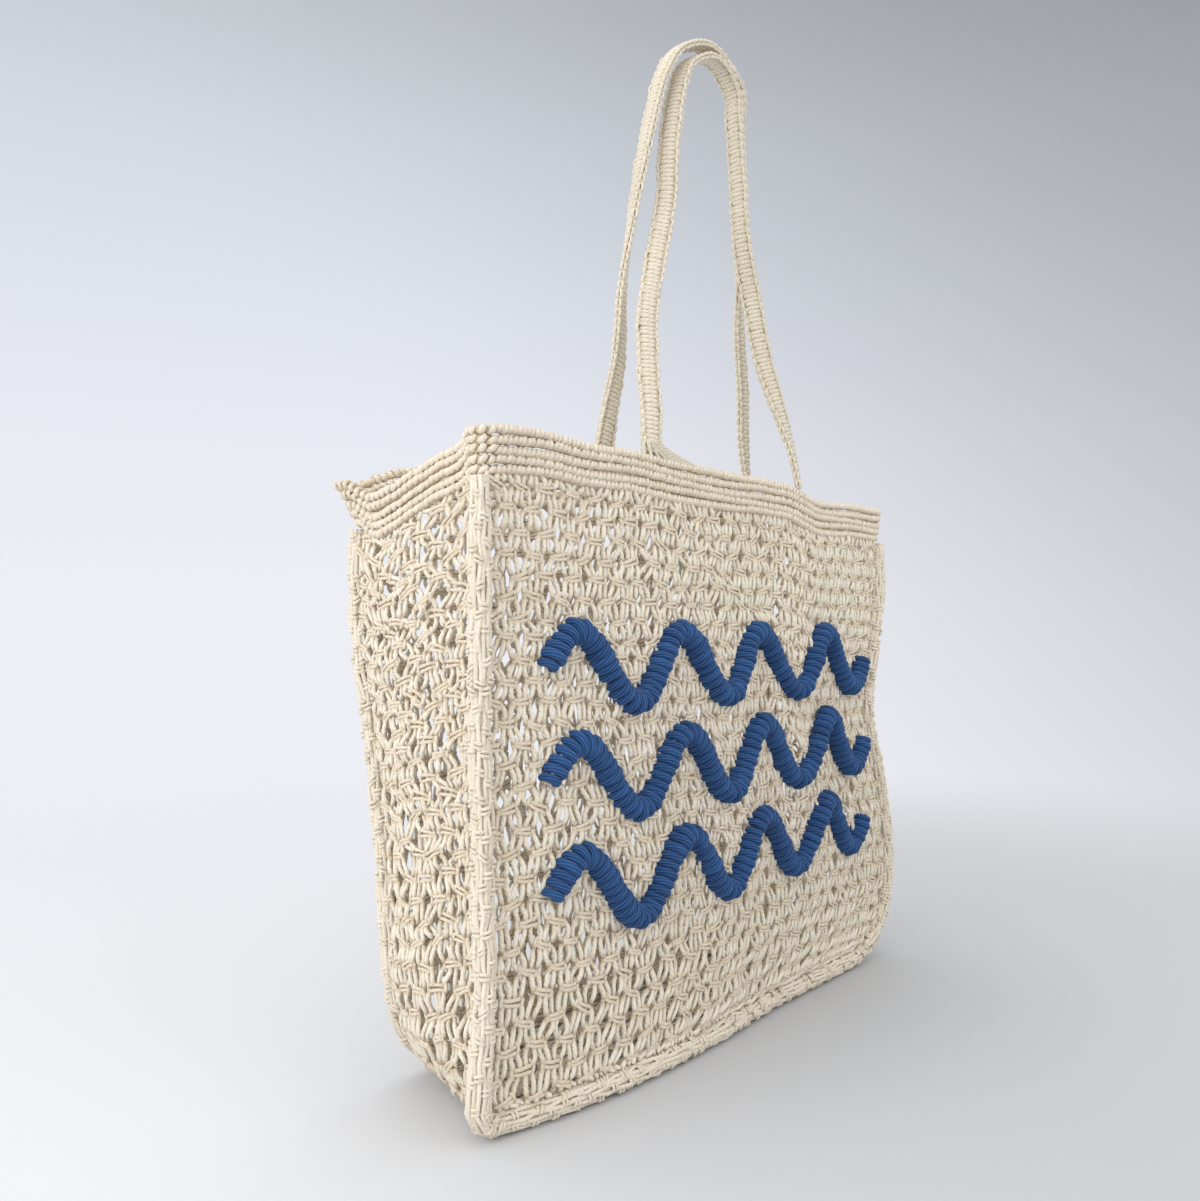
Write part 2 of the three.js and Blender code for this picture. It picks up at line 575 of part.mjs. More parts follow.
// A strap's middle line and its turn, from the left foot over the top to the right foot.
function strapLine(face, legs, extraRise) {
  const leg = (sign, side) => {
    const foot = footing(face, (sign * STRAP_SPREAD) / 2);
    return legs.map((row) => ({
      point: new THREE.Vector3(
        foot.x * (1 - row[`${side}In`]),
        mix(foot.y, STRAP_TOP[face] * SEAM_DEPTH, row.lean),
        mix(foot.z, BAG_HEIGHT + STRAP_RISE + extraRise, row.rise),
      ),
      turn: row[`${side}Turn`],
    }));
  };
  return [...leg(-1, "left"), ...leg(1, "right").reverse().slice(1)];
}

// A strap is a flat band that turns as it rises. A fan widens its left foot along the rim.
function strap(face, legs, extraRise, fan) {
  const line = strapLine(face, legs, extraRise);
  const curve = new THREE.CatmullRomCurve3(line.map((l) => l.point), false, "centripetal");
  const turns = new THREE.CatmullRomCurve3(line.map((l, i) => new THREE.Vector3(i, l.turn, 0)));
  const rings = [];
  const steps = Array.from({ length: STRAP_STEPS + 1 }, (_, i) => i / STRAP_STEPS);
  if (fan) steps.splice(1, 0, ...FAN_STEPS);
  const rimTurn = THREE.MathUtils.degToRad(FAN_TURN);
  const rimWay = new THREE.Vector3(Math.cos(rimTurn), Math.sin(rimTurn), 0);
  for (const t of steps) {
    const u = curve.getUtoTmapping(t);
    const point = curve.getPoint(u);
    const upright = t === 0 || t === 1;
    const along = upright ? new THREE.Vector3(0, 0, t === 0 ? 1 : -1) : curve.getTangent(u);
    const turn = THREE.MathUtils.degToRad(turns.getPoint(u).y);
    const wide = new THREE.Vector3(Math.cos(turn), Math.sin(turn), 0);
    wide.addScaledVector(along, -wide.dot(along)).normalize();
    const thick = wide.clone().cross(along).normalize();
    const rise = point.z - line[0].point.z;
    const spread = fan && t < 0.5 ? FAN_REACH * Math.max(1 - rise / FAN_RISE, 0) ** 2 : 0;
    rings.push(
      STRAP_SECTION.map((corner) =>
        point
          .clone()
          .addScaledVector(wide, corner.wide * STRAP_WIDTH)
          .addScaledVector(rimWay, corner.wide > 0 ? spread : 0)
          .addScaledVector(thick, corner.deep * STRAP_THICK),
      ),
    );
  }
  return ringSolid(rings, false);
}

// A stitched wave: a half-round roll along the front panel's net.
function wave(number) {
  const level = WAVE_LOWEST + number * WAVE_PITCH;
  const along = (t) => {
    const x = (t - 0.5) * WAVE_LENGTH;
    const z = level + WAVE_SWING * Math.sin(2 * Math.PI * WAVE_CRESTS * t);
    return panelPoint("front", 0.5 + x / SEAM_SPAN, x, z);
  };
  const rings = [];
  for (let i = 0; i <= WAVE_STEPS; i += 1) {
    const t = i / WAVE_STEPS;
    const step = 0.25 / WAVE_STEPS;
    const point = along(t);
    const forward = along(t + step).sub(along(t - step)).normalize();
    const across = 0.5 + point.x / SEAM_SPAN;
    const east = panelPoint("front", across + step, point.x + step * SEAM_SPAN, point.z).sub(point);
    const north = panelPoint("front", across, point.x, point.z + 1).sub(point);
    const out = east.cross(north).normalize();
    const sideways = forward.clone().cross(out).normalize();
    const end = Math.min(t, 1 - t) * WAVE_LENGTH;
    const round = Math.sqrt(Math.min(1, (end + WAVE_WIDTH / 4) / (WAVE_WIDTH / 2)));
    rings.push(
      WAVE_SECTION.map((corner) =>
        point
          .clone()
          .addScaledVector(sideways, corner.wide * WAVE_WIDTH * round)
          .addScaledVector(out, NET_THICK / 2 + WAVE_CLEAR + corner.high * WAVE_HEIGHT * round),
      ),
    );
  }
  return ringSolid(rings, false);
}

function piece(name, geometry, look) {
  const mesh = new THREE.Mesh(geometry, new THREE.MeshStandardMaterial(look));
  mesh.name = name;
  return mesh;
}

const tote = new THREE.Group();
tote.add(piece("front_panel", panel("front"), cotton));
tote.add(piece("back_panel", panel("back"), cotton));
tote.add(piece("gusset", gusset(), cotton));
tote.add(piece("front_seam", seam("front"), cottonPale));
tote.add(piece("back_seam", seam("back"), cottonPale));
tote.add(piece("rim_band", rim(), cottonPale));
tote.add(piece("front_strap", strap("front", FRONT_LEGS, 0, true), cottonPale));
tote.add(piece("back_strap", strap("back", BACK_LEGS, STRAP_THICK + 2 * CLEAR, false), cottonPale));
for (let number = 0; number < WAVE_COUNT; number += 1) {
  tote.add(piece("wave_" + (number + 1), wave(number), blueYarn));
}

export default tote;
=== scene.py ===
# %% [markdown]
# # A knotted beach tote
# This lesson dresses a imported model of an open-knotted cotton tote. The bag is made of cord and of nothing
# else, so almost every cell does the same thing in a new way: it works out where a cord runs, lays a thin
# tube along that line, and joins some thousands of such tubes into one mesh.

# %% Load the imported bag
import math

import bpy
import numpy as np
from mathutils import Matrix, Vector


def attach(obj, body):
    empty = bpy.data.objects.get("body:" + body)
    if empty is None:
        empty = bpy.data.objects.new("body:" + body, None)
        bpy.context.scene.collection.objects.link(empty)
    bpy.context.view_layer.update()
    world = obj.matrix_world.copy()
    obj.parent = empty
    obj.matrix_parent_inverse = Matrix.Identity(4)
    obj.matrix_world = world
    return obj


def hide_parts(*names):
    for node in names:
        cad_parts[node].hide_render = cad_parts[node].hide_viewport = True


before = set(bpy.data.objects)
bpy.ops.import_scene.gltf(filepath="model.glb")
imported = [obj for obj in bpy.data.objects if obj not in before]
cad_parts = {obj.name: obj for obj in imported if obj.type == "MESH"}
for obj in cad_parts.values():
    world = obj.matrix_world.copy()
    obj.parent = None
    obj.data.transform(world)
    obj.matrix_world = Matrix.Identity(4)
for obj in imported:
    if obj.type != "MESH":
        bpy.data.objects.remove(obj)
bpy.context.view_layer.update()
print("packed nodes:", ", ".join(sorted(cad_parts)))

# %% [markdown]
# ## The camera
# The picture was taken from the bag's front left corner, a little above its middle and quite near, so the
# near corner looms and the far side shrinks. The camera is level, because the corners of the bag stay
# upright in the picture, and a small upward shift frames the tall straps without tilting it.

# %% Camera
PICTURE = (1200, 1201)  # the picture's width and height
FOCAL_PIXELS = 1100.0
HORIZON_BELOW_MIDDLE = 34.5  # pixels
SENSOR = 36.0  # mm
VIEW_TURN = math.atan2(0.7558, 0.6547)  # from straight ahead, to the right
VIEW_PLACE = (-0.592, -0.457, 0.254)


def put(name, data):
    """A new object in the scene that shows a mesh, a light or a camera."""
    made = bpy.data.objects.new(name, data)
    bpy.context.scene.collection.objects.link(made)
    return made


camera_data = bpy.data.cameras.new("Camera")
camera_data.sensor_width = SENSOR
camera_data.lens = SENSOR * FOCAL_PIXELS / max(PICTURE)
camera_data.shift_y = HORIZON_BELOW_MIDDLE / max(PICTURE)
camera = put("Camera", camera_data)
camera.location = VIEW_PLACE
camera.rotation_euler = (math.pi / 2, 0.0, -VIEW_TURN)
bpy.context.scene.camera = camera
print("lens", round(camera_data.lens, 2), "mm, turned", round(math.degrees(VIEW_TURN), 1), "degrees")

# %% [markdown]
# ## The shape of the bag, in millimetres
# The net doesn't hang flat. Its corners lean, its bottom corners are rounded, the front swells and the back
# is drawn forwards between the straps. All of that is a few short tables, the same ones that shaped the
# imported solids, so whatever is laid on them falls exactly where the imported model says. Each table is read
# with a smooth curve that never overshoots its rows.

# %% Sizes
MM = 0.001  # a millimetre in metres
SEAM_SPAN, SEAM_DEPTH, BAG_HEIGHT = 430.0, 102.0, 360.0
NET_THICK, SEAM_RADIUS, NET_CLEAR = 5.0, 6.5, 0.9
RIM_ROWS, RIM_ROW_HEIGHT, RIM_CORNER, RIM_CLEAR = 5, 5.0, 10.0, 1.2
RIM_HEIGHT = RIM_ROWS * RIM_ROW_HEIGHT
NET_INSET = SEAM_RADIUS + NET_CLEAR  # from a seam's middle to the edge of the net
print("corner seams", SEAM_SPAN, "by", SEAM_DEPTH, "mm apart, rim", BAG_HEIGHT, "mm high")

# %% [markdown]
# The tables hold shares, not millimetres, so one number above can change and the shape follows. CORNERS says
# how far each corner leans from its upright at a share of the height: f and b are front and back, l and r
# left and right. The swell tables say how far a wall bulges at three heights. RIM_LINE goes once round the
# mouth, one unit a side from the front left corner, with the height of the rim and how far it leans out.

# %% Reading rows into a table


def table(names, *rows):
    """Named columns from rows of numbers; the first column is the place that the others are read at."""
    return dict(zip(names.split(), np.array(rows, float).T))


# %% Tables of the shape
CORNERS = table(
    "at flX flY frX frY blX blY brX brY",
    (0.0, 0.01, 0.02, 0.012, 0.0, -0.053, -0.13, -0.01, -0.05),
    (0.1, 0.005, 0.025, 0.021, 0.0, -0.047, -0.13, -0.005, -0.05),
    (0.2, 0.0, 0.03, 0.03, 0.0, -0.034, -0.13, 0.0, -0.05),
    (0.38, 0.0, 0.02, 0.0, 0.0, -0.028, -0.1, 0.004, -0.04),
    (0.55, 0.0, 0.0, -0.05, 0.0, -0.02, -0.05, -0.01, -0.02),
    (0.7, 0.0, 0.0, -0.022, 0.0, -0.008, -0.01, -0.008, 0.0),
    (0.82, 0.0, 0.0, -0.004, 0.0, -0.004, 0.0, -0.006, 0.0),
    (1.0, 0.0, 0.0, 0.0, 0.0, 0.0, 0.0, 0.0, 0.0),
)
CORNER_ROUNDING = {"fl": 0.035, "fr": 0.145, "bl": 0.115, "br": 0.15}
FRONT_SWELL = table(
    "across low middle high",
    (0.0, 0.0, 0.0, 0.0), (0.12, 0.08, 0.07, 0.02), (0.28, 0.12, 0.13, 0.04), (0.44, 0.11, 0.14, 0.03),
    (0.6, 0.06, 0.1, 0.02), (0.7, 0.03, 0.13, 0.06), (0.8, 0.02, 0.06, 0.02), (0.9, 0.01, 0.04, 0.01),
    (1.0, 0.0, 0.0, 0.0),
)
BACK_SWELL = table(
    "across low middle high",
    (0.0, 0.0, 0.0, 0.0), (0.1, 0.02, 0.02, -0.2), (0.2, 0.04, -0.02, -0.46), (0.32, 0.05, -0.08, -0.7),
    (0.5, 0.05, -0.1, -0.74), (0.68, 0.05, -0.08, -0.7), (0.8, 0.04, -0.02, -0.46), (0.9, 0.02, 0.02, -0.2),
    (1.0, 0.0, 0.0, 0.0),
)
SIDE_SWELL = table(
    "deep low middle high",
    (0.0, 0.0, 0.0, 0.0), (0.16, -0.03, -0.05, -0.06), (0.4, 0.04, 0.03, -0.02), (0.65, 0.06, 0.07, 0.03),
    (0.85, 0.04, 0.05, 0.02), (1.0, 0.0, 0.0, 0.0),
)
RIM_LINE = table(
    "round top out",
    (0.0, 1.0, 0.1), (0.03, 1.002, 0.1), (0.1, 1.006, 0.0), (0.18, 1.001, 0.0), (0.26, 1.003, 0.0),
    (0.36, 0.998, 0.0), (0.5, 0.996, 0.0), (0.58, 0.999, 0.0), (0.65, 0.997, 0.0), (0.7, 0.985, 0.0),
    (0.75, 0.976, 0.0), (0.82, 0.978, 0.0), (0.88, 0.981, 0.0), (0.97, 0.98, 0.12), (1.1, 0.98, 0.12),
    (1.5, 0.955, 0.1), (1.9, 0.965, 0.25), (2.03, 0.965, 0.25), (2.14, 0.985, 0.05), (2.3, 0.99, 0.0),
    (2.7, 0.99, 0.0), (2.86, 0.98, 0.05), (2.93, 0.974, 0.15), (2.965, 0.962, 0.3),
    (2.99, 0.943, 0.6), (3.1, 0.941, 0.45), (3.17, 0.927, 0.3), (3.24, 0.919, 0.2),
    (3.3, 0.9215, 0.15), (3.36, 0.928, 0.1), (3.42, 0.9355, 0.06), (3.5, 0.949, 0.03),
    (3.58, 0.96, 0.0), (3.66, 0.971, 0.0), (3.75, 0.979, 0.0), (3.84, 0.989, 0.05),
    (3.93, 1.001, 0.1), (4.0, 1.0, 0.1),
)
print("rows:", len(CORNERS["at"]), "for the corners,", len(RIM_LINE["round"]), "for the rim")

# %% [markdown]
# A plain spline through such rows would swing past them and put a dent beside each bulge. So we choose the
# slope at every row ourselves: the harmonic mean of the slopes beside it, and none at all at a turning point.

# %% Reading the tables


def read(rows, name, at):
    """The smooth curve through one column of a table, flat where its neighbours turn back."""
    x, y = next(iter(rows.values())), rows[name]
    slopes = np.diff(y) / np.diff(x)
    before, after = slopes[:-1], slopes[1:]
    total = np.where(before * after > 0, before + after, 1.0)
    turn = np.zeros_like(y)
    turn[1:-1] = np.where(before * after > 0, 2 * before * after / total, 0.0)
    at = np.clip(at, x[0], x[-1])
    i = np.clip(np.searchsorted(x, at) - 1, 0, len(x) - 2)
    span, rise = x[i + 1] - x[i], y[i + 1] - y[i]
    t, start, end = (at - x[i]) / span, turn[i] * span, turn[i + 1] * span
    return y[i] + t * (start + t * (3 * rise - 2 * start - end + t * (start + end - 2 * rise)))


def mix(a, b, t):
    return a + (b - a) * t


def smooth(t):
    return t * t * (3 - 2 * t)


def swell(rows, at, height):
    """A swell table has three heights; this reads it at any share of the height."""
    h = np.clip(height, 0, 1)
    lower = mix(read(rows, "low", at), read(rows, "middle", at), smooth(np.clip(h * 2, 0, 1)))
    upper = mix(read(rows, "middle", at), read(rows, "high", at), smooth(np.clip(h * 2 - 1, 0, 1)))
    return np.where(h < 0.5, lower, upper)


print("rim at the front left corner:", float(read(RIM_LINE, "top", 0.0)) * BAG_HEIGHT, "mm")

# %% [markdown]
# Now the bag can be asked for points. A corner is a place in plan at a height, and a panel lies between two
# corners, swollen outwards. At the bottom each corner seam runs through a quarter of a circle into the floor,
# and the net keeps beside it all the way, so the net's bottom corners are round too.

# %% Corners and panels
FACES = {
    "front": ("fl", "fr", -1.0, FRONT_SWELL, lambda across: across),
    "back": ("bl", "br", 1.0, BACK_SWELL, lambda across: 3 - across),
}


def corner_plan(corner, z):
    """Where a corner seam stands in plan at a height, before the rounding of its bottom."""
    side_x = -1.0 if corner[1] == "l" else 1.0
    side_y = -1.0 if corner[0] == "f" else 1.0
    x = side_x * (SEAM_SPAN / 2 + read(CORNERS, corner + "X", z / BAG_HEIGHT) * SEAM_SPAN)
    y = side_y * (SEAM_DEPTH / 2 + read(CORNERS, corner + "Y", z / BAG_HEIGHT) * SEAM_DEPTH)
    return x, y


def rim_top(round_):
    return read(RIM_LINE, "top", round_) * BAG_HEIGHT


def net_top(round_):
    return rim_top(round_) - RIM_HEIGHT - RIM_CLEAR


def panel_point(face, across, x, z):
    """The middle of a panel's net, in millimetres."""
    left, right, out, swells, _ = FACES[face]
    y = mix(corner_plan(left, z)[1], corner_plan(right, z)[1], across)
    y = y + out * SEAM_DEPTH * swell(swells, across, z / BAG_HEIGHT)
    return np.stack(np.broadcast_arrays(x, y, z), -1).astype(float)


print("front left corner on the floor:", np.round(corner_plan("fl", 0.0), 1), "mm")

# %% Panels between their seams


def seam_side(face, side, step):
    """A corner seam from the bottom (0) to the rim (1), and its direction into the panel."""
    corner, sign, across = face[0] + side, (-1.0, 1.0)[side == "r"], (0.0, 1.0)[side == "r"]
    radius = CORNER_ROUNDING[corner] * BAG_HEIGHT
    arc = radius * math.pi / 2
    top = net_top(FACES[face][4](across))
    along = np.asarray(step, float) * (arc + top - radius - SEAM_RADIUS)
    angle = np.minimum(along, arc) / radius
    z = SEAM_RADIUS + radius * (1 - np.cos(angle)) + np.maximum(along - arc, 0)
    x = corner_plan(corner, z)[0] - sign * radius * (1 - np.sin(angle))
    inwards = np.stack([-sign * np.sin(angle), np.zeros_like(z), np.cos(angle)], -1)
    inwards[along >= arc] = (-sign, 0, 0)
    return panel_point(face, across, x, z), inwards


def panel_net(face, across, up):
    """A point of a panel's net. across and up run from 0 to 1 between its edges."""
    (left, left_in), (right, right_in) = seam_side(face, "l", up), seam_side(face, "r", up)
    start, end = left + left_in * NET_INSET, right + right_in * NET_INSET
    share = mix(NET_INSET / SEAM_SPAN, 1 - NET_INSET / SEAM_SPAN, across)
    round_ = FACES[face][4]
    sides = mix(start[..., 2], end[..., 2], across)
    lowest = SEAM_RADIUS + NET_INSET
    highest = mix(net_top(round_(0.0)), net_top(round_(1.0)), across)
    z = mix(lowest, net_top(round_(share)), (sides - lowest) / (highest - lowest))
    return panel_point(face, share, mix(start[..., 0], end[..., 0], across), z)


print("middle of the front net:", np.round(panel_net("front", *np.full((2, 1), 0.5))[0]), "mm")

# %% [markdown]
# The gusset is one strip that runs down the left side, under the bag and up the right side. It is stretched
# between the front seam and the back seam, so its points lie on straight lines from one to the other, pushed
# outwards by the sides' swell, or down to the floor at the base.

# %% Seams and gusset
GUSSET_COLUMNS = 13


def seam_line(face, fine=60):
    """The whole seam of a face: down the left side, along the floor and up the right side."""
    steps = np.linspace(0, 1, fine + 1)
    left, left_in = seam_side(face, "l", steps[::-1])
    right, right_in = seam_side(face, "r", steps)
    across = steps[1:-1]
    base = panel_point(face, across, mix(left[-1, 0], right[0, 0], across), np.full_like(across, SEAM_RADIUS))
    base_in = np.tile((0.0, 0.0, 1.0), (len(across), 1))
    return np.concatenate([left, base, right]), np.concatenate([left_in, base_in, right_in])


def gusset_points():
    """Both sides and the base in one strip between the two seams: rows down, along and up again."""
    (near, near_in), (far, far_in) = seam_line("front"), seam_line("back")
    out = -(near_in + far_in)
    out /= np.linalg.norm(out, axis=1, keepdims=True)
    flat = np.maximum(-out[:, 2], 0)[:, None]  # 1 on the base, 0 on the sides
    depth = np.linalg.norm(far - near, axis=1)[:, None]
    deep = mix(NET_INSET / depth, 1 - NET_INSET / depth, np.linspace(0, 1, GUSSET_COLUMNS)[None])
    lift = SEAM_DEPTH * swell(SIDE_SWELL, deep, near[:, 2:] / BAG_HEIGHT) * (1 - flat)
    lift = lift + (SEAM_RADIUS - NET_THICK / 2) * flat
    points = near[:, None] + (far - near)[:, None] * deep[..., None] + out[:, None] * lift[..., None]
    on_left = np.arange(len(near))[:, None] < len(near) / 2
    plain_top = np.where(on_left, mix(net_top(4.0), net_top(3.0), deep),
                         mix(net_top(1.0), net_top(2.0), deep))
    dip = np.where(on_left, net_top(4 - deep), net_top(1 + deep)) - plain_top
    points[..., 2] += dip * (points[..., 2] / plain_top) ** 2 * (1 - flat)
    return points


print("gusset grid:", gusset_points().shape[:2], "points")

# %% [markdown]
# ## A sheet that cords can be laid on
# A net is easiest to knot flat. So each wall of the bag becomes a *sheet*: a grid of points sampled once from
# the shape above, that answers one question very fast. Given how far across and along a cord is, in
# millimetres, and how far it lifts off the net, where is that in the room? Knots are then drawn flat, and the
# sheet bends them round the bag.

# %% Lengths along a line


def unit(v):
    return v / np.maximum(np.linalg.norm(v, axis=-1, keepdims=True), 1e-9)


def ways(line):
    """How far along a line each of its points lies."""
    return np.append(0, np.cumsum(np.linalg.norm(np.diff(line, axis=0), axis=1)))


print("front seam:", round(ways(seam_line("front")[0])[-1]), "mm long")

# %% Sheets


class Sheet:
    """The middle of a net wall. Rows of points run along it, columns across it."""

    def __init__(self, points, side=1.0):
        way = np.append(0, np.cumsum(np.linalg.norm(np.diff(points, axis=0), axis=2).mean(1)))
        even = np.linspace(0, way[-1], len(way))
        evened = [[np.interp(even, way, points[:, c, k]) for c in range(points.shape[1])] for k in range(3)]
        self.points = np.array(evened).transpose(2, 1, 0)
        east, north = np.gradient(self.points, axis=1), np.gradient(self.points, axis=0)
        self.out = side * unit(np.cross(east, north))
        self.length = way[-1]
        self.width = float(np.linalg.norm(np.diff(self.points, axis=1), axis=2).sum(1).mean())

    def at(self, across, along, lift):
        """Points in the room, in millimetres, from millimetres across, along and off the sheet."""
        rows, columns = self.points.shape[:2]
        r, c = along / self.length * (rows - 1), across / self.width * (columns - 1)
        i, j = np.clip(r.astype(int), 0, rows - 2), np.clip(c.astype(int), 0, columns - 2)
        r, c = (r - i)[..., None], (c - j)[..., None]
        found = []
        for grid in (self.points, self.out):
            low = mix(grid[i, j], grid[i, j + 1], c)
            found.append(mix(low, mix(grid[i + 1, j], grid[i + 1, j + 1], c), r))
        return found[0] + unit(found[1]) * lift[..., None]


# %% The three sheets
SHEET_POINTS = 61  # of a panel's grid, each way
sheet_grid = np.meshgrid(np.linspace(0, 1, SHEET_POINTS), np.linspace(0, 1, SHEET_POINTS))
front_sheet = Sheet(panel_net("front", *sheet_grid))
back_sheet = Sheet(panel_net("back", *sheet_grid), side=-1.0)
gusset_sheet = Sheet(gusset_points())
for name, sheet in (("front", front_sheet), ("back", back_sheet), ("gusset", gusset_sheet)):
    print(name, "net:", round(sheet.width), "by", round(sheet.length), "mm")

# %% [markdown]
# ## Laying cord
# Blender could turn curves into tubes for us, but thousands of curve objects are slow. Arrays are much
# faster: give this helper many lines of the same number of points at once and it works out all their tubes
# together. A tube needs a sideways direction at every point, to draw its section in. We either give one, such
# as the row that a wrap belongs to, or carry the first one along the cord with as little turning as we can.

# %% Sideways directions
rng = np.random.default_rng(20)
STEEP = 0.8  # how upright a cord may be before we start from another direction than up


def full_turn(points):
    """Angles evenly round a circle."""
    return 2 * math.pi * np.arange(points) / points


def square_to(v, along):
    """The part of a direction that is square to another."""
    return unit(v - along * np.sum(v * along, -1, keepdims=True))


def carried(tangent):
    """A sideways direction at every point of every cord, turning as little as it can."""
    steep = np.abs(tangent[:, 0, 2:]) > STEEP
    wide = [unit(np.cross(tangent[:, 0], np.where(steep, (1.0, 0, 0), (0, 0, 1.0))))]
    for t in tangent.transpose(1, 0, 2)[1:]:
        wide.append(square_to(wide[-1], t))
    return np.stack(wide, 1)


print("sideways of an upright cord:", carried(np.array([[(0, 0, 1.0)]]))[0, 0])

# %% [markdown]
# Each tube also carries what its finish will need later. One map holds how far round and how far along the
# cord a point is, for the twist of the yarn. Two numbers hold the cord's own tone, and its painted shade,
# which grows the deeper among other cords it lies. A closed line, such as a ring, has no ends. An open one
# gets a flat cap at each end.

# %% Bundles of cord


class Bundle:
    """The cords of one piece. lay() adds many at once."""

    def __init__(self):
        self.points, self.quads, self.ends, self.maps, self.end_maps = [], [], [], [], []
        self.tone, self.nook, self.count = [], [], 0

    def lay(self, lines, radius, sides=5, closed=False, lie=None, flat=1.0, tone=None, nook=0.0):
        """lines is (cords, points, 3) in mm, and so is the radius. lie is a direction that the section's
        width turns to, and flat squeezes its depth. tone and the painted shade run from 0 to 1; the painted
        shade is how far a cord's colour goes to the shade colour where it lies deep in a knot or groove."""
        n, k, _ = lines.shape
        ahead = np.roll(lines, -1, 1) - lines
        if not closed:
            ahead[:, -1] = ahead[:, -2]
        behind = np.roll(ahead, 1, 1)
        if not closed:
            behind[:, 0] = ahead[:, 0]
        tangent = unit(unit(ahead) + unit(behind))
        wide = carried(tangent) if lie is None else square_to(lie, tangent)
        deep = np.cross(tangent, wide)
        radius = np.broadcast_to(radius, (n, k))[..., None, None]
        turn = full_turn(sides)
        around = np.cos(turn)[:, None] * wide[:, :, None] + flat * np.sin(turn)[:, None] * deep[:, :, None]
        self.points.append((lines[:, :, None] + radius * around).reshape(-1, 3))
        self._faces(n, k, sides, closed, ahead)
        tone = rng.random(n) if tone is None else tone
        for store, value in ((self.tone, np.reshape(tone, (-1, 1))), (self.nook, nook)):
            store.append(np.repeat(np.broadcast_to(value, (n, k)).ravel(), sides))

    def _faces(self, n, k, sides, closed, ahead):
        """Each face keeps its own corners on the map, so that the map never runs back on the last one."""
        first = self.count + (np.arange(n) * k * sides)[:, None, None]
        bands = k if closed else k - 1
        j, s = np.arange(bands)[None, :, None], np.arange(sides)[None, None]
        j2, s2 = (j + 1) % k, (s + 1) % sides
        corners = [first + a * sides + b for a, b in ((j, s), (j, s2), (j2, s2), (j2, s))]
        self.quads.append(np.stack(corners, -1).reshape(-1, 4))
        steps = np.linalg.norm(ahead, axis=2)[:, :bands]
        way = np.concatenate([np.zeros((n, 1)), np.cumsum(steps, 1)], 1)
        low, high = way[:, :-1, None] + 0 * s, way[:, 1:, None] + 0 * s
        left, right = s / sides + 0 * low, (s + 1) / sides + 0 * low
        flat_map = [left, low, right, low, right, high, left, high]
        self.maps.append(np.stack(flat_map, -1).reshape(-1, 2))
        if not closed:
            for ring, order in ((0, -1), (k - 1, 1)):
                caps = (first[:, :, 0] + ring * sides + np.arange(sides)[None])[:, ::order]
                self.ends.append(caps)
                here = np.stack(np.broadcast_arrays(np.arange(sides) / sides, way[:, -1:] * (ring > 0)), -1)
                self.end_maps.append(here.reshape(-1, 2))
        self.count += n * k * sides


trial = Bundle()
trial.lay(np.array([[(0, 0, 0), (0, 0, 1.0), (0, 1.0, 2.0)]]), 0.5, tone=np.zeros(1))
print("a cord through 3 points:", trial.count, "corners,", len(trial.quads[0]), "faces and 2 caps")

# %% [markdown]
# ## From tubes to one mesh
# A bundle becomes one mesh, written straight from its arrays, which takes a moment where adding faces one by
# one would take minutes. The bag's lowest cords carry its weight, so whatever lies below a small height is
# pressed flat there and never goes through the floor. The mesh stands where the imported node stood.

# %% Making a piece
FLOOR_SQUASH = 1.5  # mm; cords that lie lower than this are pressed flat by the floor


def make_piece(bundle, name, node, finish):
    """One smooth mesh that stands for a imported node."""
    points = np.concatenate(bundle.points)
    low = points[:, 2] < FLOOR_SQUASH
    points[low, 2] = FLOOR_SQUASH * np.exp(points[low, 2] / FLOOR_SQUASH - 1)
    loops = np.concatenate([faces.ravel() for faces in bundle.quads + bundle.ends])
    sizes = np.concatenate([np.full(len(faces), faces.shape[1]) for faces in bundle.quads + bundle.ends])
    mesh = bpy.data.meshes.new(name)
    mesh.vertices.add(len(points))
    mesh.vertices.foreach_set("co", points.ravel() * MM)
    mesh.loops.add(len(loops))
    mesh.loops.foreach_set("vertex_index", loops)
    mesh.polygons.add(len(sizes))
    mesh.polygons.foreach_set("loop_start", np.append(0, np.cumsum(sizes)[:-1]))
    mesh.polygons.foreach_set("loop_total", sizes)
    mesh.update(calc_edges=True)
    mesh.polygons.foreach_set("use_smooth", np.ones(len(sizes), bool))
    corner_map = np.concatenate(bundle.maps + bundle.end_maps).ravel()
    mesh.uv_layers.new(name="cord").uv.foreach_set("vector", corner_map)
    # Besides its tone, each point keeps its painted shade: how far its colour goes to the shade colour in a
    # knot or groove.
    for title, values in (("tone", bundle.tone), ("nook", bundle.nook)):
        mesh.attributes.new(title, "FLOAT", "POINT").data.foreach_set("value", np.concatenate(values))
    mesh.materials.append(finish)
    piece = put(name, mesh)
    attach(piece, "root")
    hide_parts(node)
    print(f"{name}: {int((sizes - 2).sum())} triangles")


# %% [markdown]
# ## Writing finishes as sums
# A shader is arithmetic on sockets. Wrapping a socket in a small class lets us write that arithmetic as
# plain Python, so 1 - groove adds the Math node for us. Everything else, such as a noise or a colour mix,
# comes from one method that takes the node's kind, its settings and what goes into its sockets.

# %% Wires


